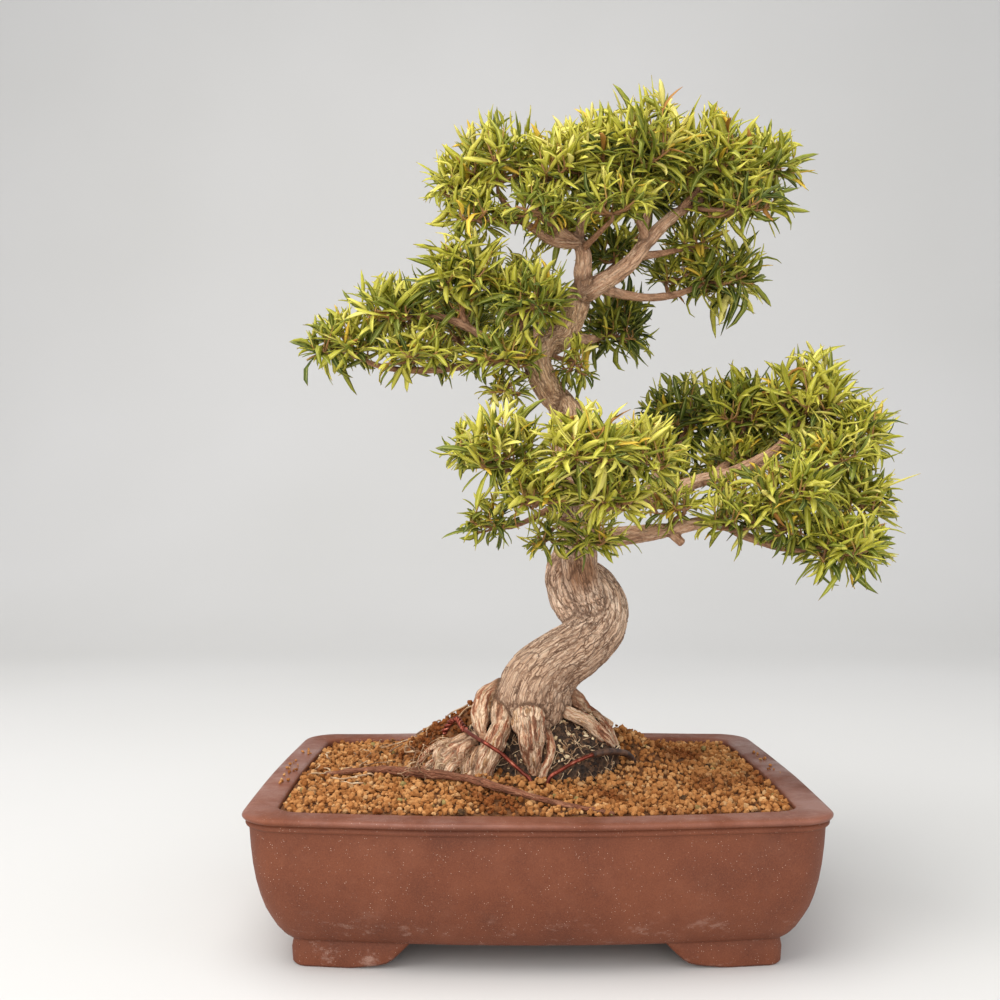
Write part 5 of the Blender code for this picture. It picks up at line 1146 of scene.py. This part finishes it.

# Foliage
# Narrow fig leaves on green-brown shoots, in clipped pads, each pad at the end of a limb. Young
# leaves at the tips are yellow-green, older ones inside are darker, and a few have yellowed. Leaf
# tone also carries painted light: leaves low and inside a pad are painted darker as shade, those on
# top and outside lighter, and pads at the back darker than those in front.
PADS = {
    "crown_left": ("lead_a0", (17, -28, 427), (22, 20, 19)),
    "crown_front": ("lead_a1", (38, -20, 435), (26, 22, 22)),
    "crown_top": ("lead_a2", (63, -28, 439.5), (27, 24, 26)),
    "crown_right": ("lead_a3", (103, -12, 436.5), (29, 25, 23)),
    "crown_tip": ("right_limb", (136, -5, 433), (22, 20, 17)),
    "crown_back": ("lead_a5", (77, 46, 451.5), (34, 28, 24)),
    "crown_back_right": ("lead_a6", (118, 44, 446.5), (30, 26, 22)),
    "left_top": ("lead_b1", (-19, -16, 434.5), (26, 22, 20)),
    "left_top_tip": ("lead_b2", (-43, -15, 419), (17, 18, 15)),
    "left_tip": ("lead_c1", (-112, -1, 330), (22, 22, 16)),
    "left_shelf": ("lead_c", (-79, -8, 348), (26, 24, 17)),
    "left_crest": ("lead_c3", (-39, -22, 365.5), (27, 24, 22)),
    "left_inner": ("lead_c4", (-2, -30, 350.5), (22, 20, 18)),
    "left_back": ("lead_k", (0, 60, 366.5), (28, 25, 22)),
    "inner_back": ("lead_g", (54, 54, 351.5), (24, 22, 22)),
    "right_shelf": ("lead_f", (119, 26, 376.5), (24, 22, 19)),
    "right_shelf_inner": ("lead_f2", (99, 16, 395.5), (17, 16, 12)),
    "front_left": ("lead_d1", (-18, -74, 262.5), (23, 20, 19)),
    "front_middle": ("front", (24, -92, 262.5), (24, 20, 19)),
    "front_right": ("lead_d3", (56, -70, 260.5), (19, 18, 18)),
    "front_left_tip": ("lead_d4", (-36, -62, 264), (12, 13, 9)),
    "low_left": ("lead_d5", (-25, -54, 226), (15, 13, 9)),
    "low_middle": ("lead_d6", (32, -44, 218), (18, 13, 10)),
    "right_back": ("lead_e1", (99, 55, 294.5), (26, 24, 23)),
    "right_inner": ("lead_e2", (130, 26, 294.5), (25, 22, 22)),
    "right_crest": ("right_high", (163, 0, 299.5), (27, 24, 24)),
    "right_tip": ("lead_e4", (188, 0, 277), (22, 22, 21)),
    "right_droop": ("lead_e5", (185, -10, 239), (22, 22, 20)),
    "right_front": ("lead_e6", (138, -52, 242.5), (25, 20, 19)),
    "right_low": ("right_low", (166, -44, 212.5), (25, 22, 18)),
    "middle_back": ("lead_h", (55, 68, 267), (25, 24, 18)),
    "crown_low_left": ("lead_b3", (-31, -24, 400), (18, 18, 11)),
    "crown_low_middle": ("lead_a7", (2, -34, 403), (19, 15, 10)),
    "crown_low_front": ("lead_a8", (44, -38, 404), (22, 16, 11)),
    "crown_low_right": ("lead_a9", (121, -20, 407.5), (26, 20, 13)),
    "crown_low_back": ("lead_a10", (28, 36, 412.5), (26, 22, 18)),
    "crown_fork": ("lead_a11", (55, 33, 393), (20, 16, 13)),
    "left_inner_top": ("lead_k2", (-6, 2, 372), (13, 12, 8)),
    "left_low": ("lead_c5", (-64, -17, 321), (25, 20, 12)),
    "left_low_inner": ("lead_c6", (-18, -26, 320), (22, 18, 12)),
    "left_back_tip": ("lead_c7", (-48, 38, 348.5), (25, 22, 18)),
    "right_shelf_low": ("lead_f3", (90, 31, 380), (15, 17, 12)),
    "front_low": ("lead_d7", (0, -78, 240), (20, 17, 13)),
    "front_low_right": ("lead_d8", (37, -80, 238.5), (21, 17, 14)),
    "right_mid": ("lead_e7", (122, 24, 264.5), (24, 21, 13)),
    "right_mid_tip": ("lead_e8", (166, -19, 263.5), (23, 18, 15)),
    "right_low_inner": ("lead_e9", (112, -42, 227.5), (21, 17, 12)),
    "right_low_tip": ("lead_e10", (181, -25, 213), (16, 16, 12)),
    "right_behind": ("lead_e11", (150, 48, 280.5), (24, 22, 20)),
    "right_sprig": ("sprig_right", (76, -32, 236), (18, 14, 11)),
    "low_sprig": ("sprig_low", (8, -34, 217), (11, 10, 11)),
    "left_sprig": ("sprig_left", (-16, -16, 301), (13, 10, 7)),
    "left_fork_sprig": ("sprig_inner", (25, -6, 317), (11, 10, 13)),
    "right_back_sprig": ("sprig_back", (88, 32, 254), (17, 14, 9)),
    "right_under_sprig": ("sprig_under", (116, -8, 243), (15, 12, 8)),
    "right_gap_sprig": ("sprig_gap", (138, -46, 224), (14, 12, 12)),
}
# Painted light: a tone shift for each pad, darker for pads at the back in shade, lighter for pads in front
# and on top.
PAD_LIGHT = {"right_back": -0.2, "right_inner": -0.1, "middle_back": -0.14, "inner_back": -0.18,
             "left_back": -0.1, "right_behind": -0.1, "crown_fork": -0.12, "front_left": 0.12,
             "front_middle": 0.14, "front_right": 0.1, "front_low": 0.1, "front_low_right": 0.08,
             "crown_left": 0.12, "crown_front": 0.12, "crown_top": 0.08, "left_top_tip": 0.1,
             "crown_right": 0.06, "right_crest": 0.08, "right_tip": 0.06}
GOLDEN = radians(137.5)
SHOOTS = 24
TWIGS = 6
LEAVES_ON_SHOOT = 7
SHOOT_REACH = 0.74
SHOOT_RADIUS = 1.0
SHOOT_FOOT = 9.0
SHOOT_TIP = 3.5
PLAIN_PAD = 22.0
LEAF_LENGTH = (19.0, 36.0)
LEAF_WIDTH = (2.9, 4.7)
LEAF_LEAN = (24.0, 74.0)
LEAF_SHORTEST = 11.0
LEAF_STRAY = 0.06
PAD_REACH = (1.05, 1.45)
PAD_HANG = 1.45
LEAF_STOPS = [0.0, 0.1, 0.32, 0.58, 0.84, 1.0]
LEAF_SHAPE = [0.14, 0.3, 0.92, 1.0, 0.66, 0.05]
LEAF_CHANNEL = 0.34
LEAF_THICK = 0.25
LEAF_USUAL = 26.0
YELLOWED = 0.035
BROWNED = 0.045
TONE_INSIDE = 0.33
TONE_OUTWARD_YOUNG_AND_LIT = 0.16
TONE_UPWARD_PAINTED_LIGHT = 0.14
TONE_AT_TIP = 0.1
TONE_SPREAD = 0.17


def spread(k, count, turn):
    """Evenly spread directions, most of them up and out, some hanging a little."""
    height = 1.0 - 1.65 * (k + 0.5) / count
    flat = sqrt(max(0.0, 1 - height * height))
    return Vector((flat * cos(turn + GOLDEN * k), flat * sin(turn + GOLDEN * k), height))


def pad_reach(point, middle, half):
    """How far out a point lies in its pad: 0 in the middle, 1 on the edge, which hangs low."""
    fall = PAD_HANG if point[2] < middle[2] else 1.0
    return sqrt(((point[0] - middle[0]) / half[0]) ** 2 + ((point[1] - middle[1]) / half[1]) ** 2
                + ((point[2] - middle[2]) / (half[2] * fall)) ** 2)


def pad_shoots(limb, middle, half, draw):
    """The pad's own wood: twigs fanned level off the limb, and shoots that rise from them."""
    limb_line = [p for p, radius in smooth_route(limb, 6)]
    end, ahead = limb_line[-1], (limb_line[-1] - limb_line[-2]).normalized()
    hub = end + ahead * 3 + (middle - end) * 0.25
    routes = [[(*(end - ahead * 2), limb[-1][3]), (*(end + ahead * 3), SHOOT_RADIUS * 1.3),
               (*hub, SHOOT_RADIUS)]]
    feet = [p for p in limb_line if pad_reach(p, middle, half) < 1.25]
    feet += [end.lerp(hub, share) for share in (0.3, 0.7, 1.0)]
    turn = draw.uniform(0, 2 * pi)
    for k in range(TWIGS):
        angle = turn + (k + draw.uniform(-0.3, 0.3)) * 2 * pi / TWIGS
        out = Vector((cos(angle) * half[0], sin(angle) * half[1], 0)) * draw.uniform(0.6, 0.86)
        tip = middle + out - Vector((0, 0, half[2] * draw.uniform(0.1, 0.55)))
        bend = hub.lerp(tip, 0.55) - Vector((0, 0, draw.uniform(0.5, 3.0)))
        routes.append([(*hub, SHOOT_RADIUS), (*bend, SHOOT_RADIUS * 0.8), (*tip, SHOOT_RADIUS * 0.5)])
        feet += [hub.lerp(bend, 0.6), bend, bend.lerp(tip, 0.5)]
    for k in range(round(SHOOTS * (sum(half) / 3 / PLAIN_PAD) ** 2)):
        way = spread(k, SHOOTS, turn)
        reach = SHOOT_REACH * (0.4 + 0.7 * draw.random() ** 0.6)
        target = middle + Vector([way[i] * half[i] for i in range(3)]) * reach
        under = target - Vector((0, 0, SHOOT_FOOT))
        start = min(feet, key=lambda foot: (foot - under).length)
        bend = start.lerp(target, 0.5) + Vector((draw.uniform(-2, 2), draw.uniform(-2, 2), -1.5))
        tip = target + (target - bend).normalized() * SHOOT_TIP
        routes.append([(*start, SHOOT_RADIUS * 0.7), (*bend, SHOOT_RADIUS * 0.6),
                       (*target, SHOOT_RADIUS * 0.42), (*tip, 0.12)])
    return routes


def shoot_leaves(route, bare, middle, half, light, draw):
    """Leaves up a shoot beyond its bare part, each turned by the golden angle from the last."""
    line = smooth_route(route, 6)
    line = line[:-3] if route[-1][3] < 0.2 else line
    turn = draw.uniform(0, 2 * pi)
    own = light + draw.gauss(0, 0.13)
    leaves = []
    for k in range(LEAVES_ON_SHOOT):
        share = (k + 1.0) / LEAVES_ON_SHOOT
        stop = min(int((bare + (1 - bare) * share) * (len(line) - 1)), len(line) - 2)
        root = line[stop][0]
        ahead = (line[stop + 1][0] - root).normalized()
        side = ahead.orthogonal().normalized()
        angle = turn + GOLDEN * k
        around = side * cos(angle) + ahead.cross(side) * sin(angle)
        lean = LEAF_LEAN[1] + (LEAF_LEAN[0] - LEAF_LEAN[1]) * share ** 1.3
        lean = radians(lean) * draw.uniform(0.6, 1.35)
        out = (root - middle) / half[0]
        way = ahead * cos(lean) + around * sin(lean) + out * 0.2
        way += Vector([draw.gauss(0, 0.32) for i in range(3)])
        way.normalize()
        length = draw.uniform(*LEAF_LENGTH) * (0.7 if share > 0.9 else 1.0)
        limit = draw.uniform(*PAD_REACH) + (0.35 if draw.random() < LEAF_STRAY else 0.0)
        while pad_reach(root + way * length, middle, half) > limit and length > LEAF_SHORTEST:
            length *= 0.9
        up = Vector((0, 0, 1)) + out * 0.3 + around * 0.4 + Vector([draw.gauss(0, 0.35) for i in range(3)])
        # Painted light: leaves high in the pad are painted lighter as if lit from above, leaves further out
        # lighter for being younger and lit, and own carries the pad's painted light.
        rise = (root.z - middle.z) / half[2]
        tone = TONE_INSIDE + TONE_OUTWARD_YOUNG_AND_LIT * pad_reach(root, middle, half) + TONE_UPWARD_PAINTED_LIGHT * rise + own
        tone += draw.gauss(0, TONE_SPREAD)
        tone += TONE_AT_TIP if share > 0.75 else 0.0
        fading = draw.random()
        warm = 1.0 if fading < YELLOWED else 0.5 if fading < BROWNED else 0.0
        width = draw.uniform(*LEAF_WIDTH) * (length / LEAF_USUAL) ** 0.5
        curl, sweep, twist = draw.gauss(-0.45, 0.75), draw.gauss(0, 0.8), draw.gauss(0, 0.5)
        leaves.append((root, way, up, length, width, curl, sweep, twist, tone, warm))
    return leaves


def leaf_meshes(leaves):
    """Every leaf as a thin channelled blade on a petiole, bowed along and swept to one side."""
    stops, shape = np.array(LEAF_STOPS), np.array(LEAF_SHAPE)
    rows = len(stops)
    points, faces, tones = [], [], []
    for root, way, up, length, width, curl, sweep, twist, tone, warm in leaves:
        across = way.cross(up).normalized()
        lift = across.cross(way)
        root, way, across, lift = map(np.array, (root, way, across, lift))
        turn = curl * stops
        curl = curl if abs(curl) > 0.02 else 0.02
        forward, rise = np.sin(turn) / curl, (1 - np.cos(turn)) / curl
        swept = 0.5 * sweep * stops * (stops - 0.5)
        centre = root + length * (forward[:, None] * way + rise[:, None] * lift + swept[:, None] * across)
        tilt = np.cos(turn)[:, None] * lift - np.sin(turn)[:, None] * way
        roll = (twist * stops)[:, None]
        side = np.cos(roll) * across + np.sin(roll) * tilt
        top = np.cos(roll) * tilt - np.sin(roll) * across
        half = (shape * width / 2)[:, None]
        ring = np.stack([centre - side * half + top * half * LEAF_CHANNEL, centre,
                         centre + side * half + top * half * LEAF_CHANNEL, centre - top * LEAF_THICK], 1)
        start = len(points) * rows * 4
        end = start + (rows - 1) * 4
        points.append(ring.reshape(-1, 3))
        faces += ring_faces(rows, 4, start, inward=True)
        faces += [tuple(range(start, start + 4)), tuple(reversed(range(end, end + 4)))]
        for t in stops:
            tones += [(tone, warm, t, 1.0), (tone, warm, t, 0.0)] * 2
    return np.concatenate(points), faces, tones


def leaf_finish():
    """Waxy leaf: tone by age and painted light, a paler midrib and margin, and yellow or brown on the few
    that are going.
    """
    n = Nodes("fig_leaf")
    tone, warm, along, edge = n.stored("leaf")
    fleck = n.sums("SUBTRACT", n.clouds(220, 3), 0.5)
    shade = n.sums("ADD", tone, n.times(fleck, 0.3))
    base = n.ramp(shade, (0.0, 72, 88, 26), (0.26, 124, 132, 36), (0.5, 182, 178, 54),
                  (0.74, 218, 210, 88), (1.0, 232, 220, 124))
    pale = n.blend(0.5, base, (230, 222, 140))
    base = n.blend(n.mask(edge, 0.14, 0.02), base, pale)
    base = n.coat(base, pale, 0.45, n.mask(edge, 0.84, 1.0))
    base = n.coat(base, (176, 128, 62), 0.85, n.mask(along, 0.14, 0.0))
    base = n.blend(n.mask(warm, 0.3, 0.5), base, (176, 124, 60))
    base = n.blend(n.mask(warm, 0.7, 1.0), base, (226, 190, 66))
    base = n.coat(base, (170, 116, 56), 0.6, n.mask(along, 0.95, 1.0))
    return n.finish(base, 0.5, n.bump(n.clouds(900, 2), 0.15, 0.0002), Specular_IOR_Level=0.35)


def shoot_finish():
    """Young wood: brown below, green above, with an orange-brown bud at the tip."""
    n = Nodes("young_shoot")
    fleck = n.clouds(300, 3)
    own = n.sums("ADD", n.stored("age")[0], n.times(n.sums("SUBTRACT", fleck, 0.5), 0.5))
    base = n.ramp(own, (0.0, 134, 96, 66), (0.3, 160, 114, 70), (0.6, 176, 142, 72),
                  (0.8, 180, 128, 66), (1.0, 172, 92, 48))
    return n.finish(base, 0.7, n.bump(fleck, 0.3, 0.0004))


PAD_GROUPS = {"crown": "crown_", "left_top": "left_top", "left": "left_", "inner": "inner_back",
              "right_shelf": "right_shelf", "front": "front_", "low": "low_", "middle_back": "middle_back",
              "right": "right_"}
leaf_green = leaf_finish()
shoot_brown = shoot_finish()
waiting = dict(enumerate(PADS.items()))
for group, prefix in PAD_GROUPS.items():
    own = [number for number in waiting if waiting[number][0].startswith(prefix)]
    leaves, shoots, ages, nodes = [], [], [], []
    for number in own:
        name, (limb, middle, half) = waiting.pop(number)
        draw = random.Random(100 + number)
        middle = Vector(middle)
        for index, route in enumerate(pad_shoots(LIMBS[limb], middle, half, draw)):
            line = smooth_route(route, 3)
            shoots.append(tube(line, 4))
            young = 0.0 if index == 0 else 0.45 if index <= TWIGS else 1.0
            ages += [(young * i / (len(line) - 1), 0, 0, 1) for i in range(len(line)) for k in range(4)]
            if index:
                bare = 0.4 if index <= TWIGS else 0.1
                leaves += shoot_leaves(route, bare, middle, half, PAD_LIGHT.get(name, 0.0), draw)
        if "spray_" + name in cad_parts:
            nodes.append("spray_" + name)
    paint(add_tinted("leaves_" + group, "leaf", *leaf_meshes(leaves)), leaf_green, "leaf", *nodes)
    paint(add_tinted("shoots_" + group, "age", *gathered(shoots), ages), shoot_brown, "leaf")

# Studio
# A sheet of pale paper, laid as a floor and curved up behind, with soft boxes above, in front and
# on both sides of the tree, and the camera.
CAMERA = Vector((-21.0, -620.0, 223.6))
LENS_PIXELS = 1058.0
LEVEL_ROW = 524.0
MIDDLE_COLUMN = 496.0
PICTURE = 1000.0
SENSOR = 36.0
SWEEP_HALF = 3.5
SWEEP_FRONT = -2.5
SWEEP_BEND = 1.2
SWEEP_RADIUS = 0.9
SWEEP_STEPS = 8


def sweep():
    """The floor and backdrop as one curved sheet."""
    profile = [(SWEEP_FRONT, 0.0), (SWEEP_BEND, 0.0)]
    for t in range(1, SWEEP_STEPS + 1):
        turn = t * pi / (2 * SWEEP_STEPS)
        profile.append((SWEEP_BEND + SWEEP_RADIUS * sin(turn), SWEEP_RADIUS - SWEEP_RADIUS * cos(turn)))
    profile.append((SWEEP_BEND + SWEEP_RADIUS, SWEEP_HALF))
    points = [(side, y, z) for y, z in profile for side in (-SWEEP_HALF, SWEEP_HALF)]
    faces = [(i * 2, i * 2 + 1, i * 2 + 3, i * 2 + 2) for i in range(len(profile) - 1)]
    return points, faces


def backdrop_finish():
    """Matt off-white paper."""
    n = Nodes("studio_paper")
    tone = n.clouds(1.2, 2)
    colour = n.ramp(tone, (0.3, 204, 203, 200), (0.7, 209, 208, 206))
    return n.finish(colour, 0.9)


sweep_mesh = bpy.data.meshes.new("studio_sweep")
sweep_points, sweep_faces = sweep()
sweep_mesh.from_pydata(sweep_points, [], sweep_faces)
studio = bpy.data.objects.new("studio_sweep", sweep_mesh)
bpy.context.scene.collection.objects.link(studio)
sweep_mesh.shade_smooth()
sweep_mesh.materials.append(backdrop_finish())


def soft_light(name, spot, aim, size, power, colour):
    """A square soft box that faces a point."""
    light = bpy.data.lights.new(name, "AREA")
    light.shape = "SQUARE"
    light.size = size
    light.energy = power
    light.color = colour
    lamp = bpy.data.objects.new(name, light)
    lamp.location = spot
    lamp.rotation_euler = (Vector(aim) - Vector(spot)).to_track_quat("-Z", "Y").to_euler()
    bpy.context.scene.collection.objects.link(lamp)


soft_light("light_above", (-0.4, -0.5, 1.9), (0.0, 0.0, 0.2), 1.6, 34.0, (1.0, 0.98, 0.95))
soft_light("light_front", (-0.1, -2.3, 0.8), (0.0, 0.0, 0.25), 1.8, 20.0, (1.0, 0.98, 0.94))
soft_light("light_left", (-1.6, -1.0, 0.9), (0.0, 0.0, 0.25), 1.2, 14.0, (1.0, 0.97, 0.94))
soft_light("light_right", (1.7, -0.9, 0.8), (0.0, 0.0, 0.25), 1.4, 8.0, (0.96, 0.98, 1.0))
bpy.context.scene.view_settings.view_transform = "Standard"
world = bpy.data.worlds.new("studio")
world.use_nodes = True
world.node_tree.nodes["Background"].inputs["Color"].default_value = (0.93, 0.95, 1.0, 1.0)
world.node_tree.nodes["Background"].inputs["Strength"].default_value = 0.65
bpy.context.scene.world = world

lens = bpy.data.cameras.new("camera")
lens.sensor_width = SENSOR
lens.lens = LENS_PIXELS / PICTURE * SENSOR
camera = bpy.data.objects.new("camera", lens)
camera.location = POT_MIDDLE + CAMERA * MM
ahead = Vector(((PICTURE / 2 - MIDDLE_COLUMN) / LENS_PIXELS, 1.0, (LEVEL_ROW - PICTURE / 2) / LENS_PIXELS))
camera.rotation_euler = ahead.to_track_quat("-Z", "Y").to_euler()
bpy.context.scene.collection.objects.link(camera)
bpy.context.scene.camera = camera
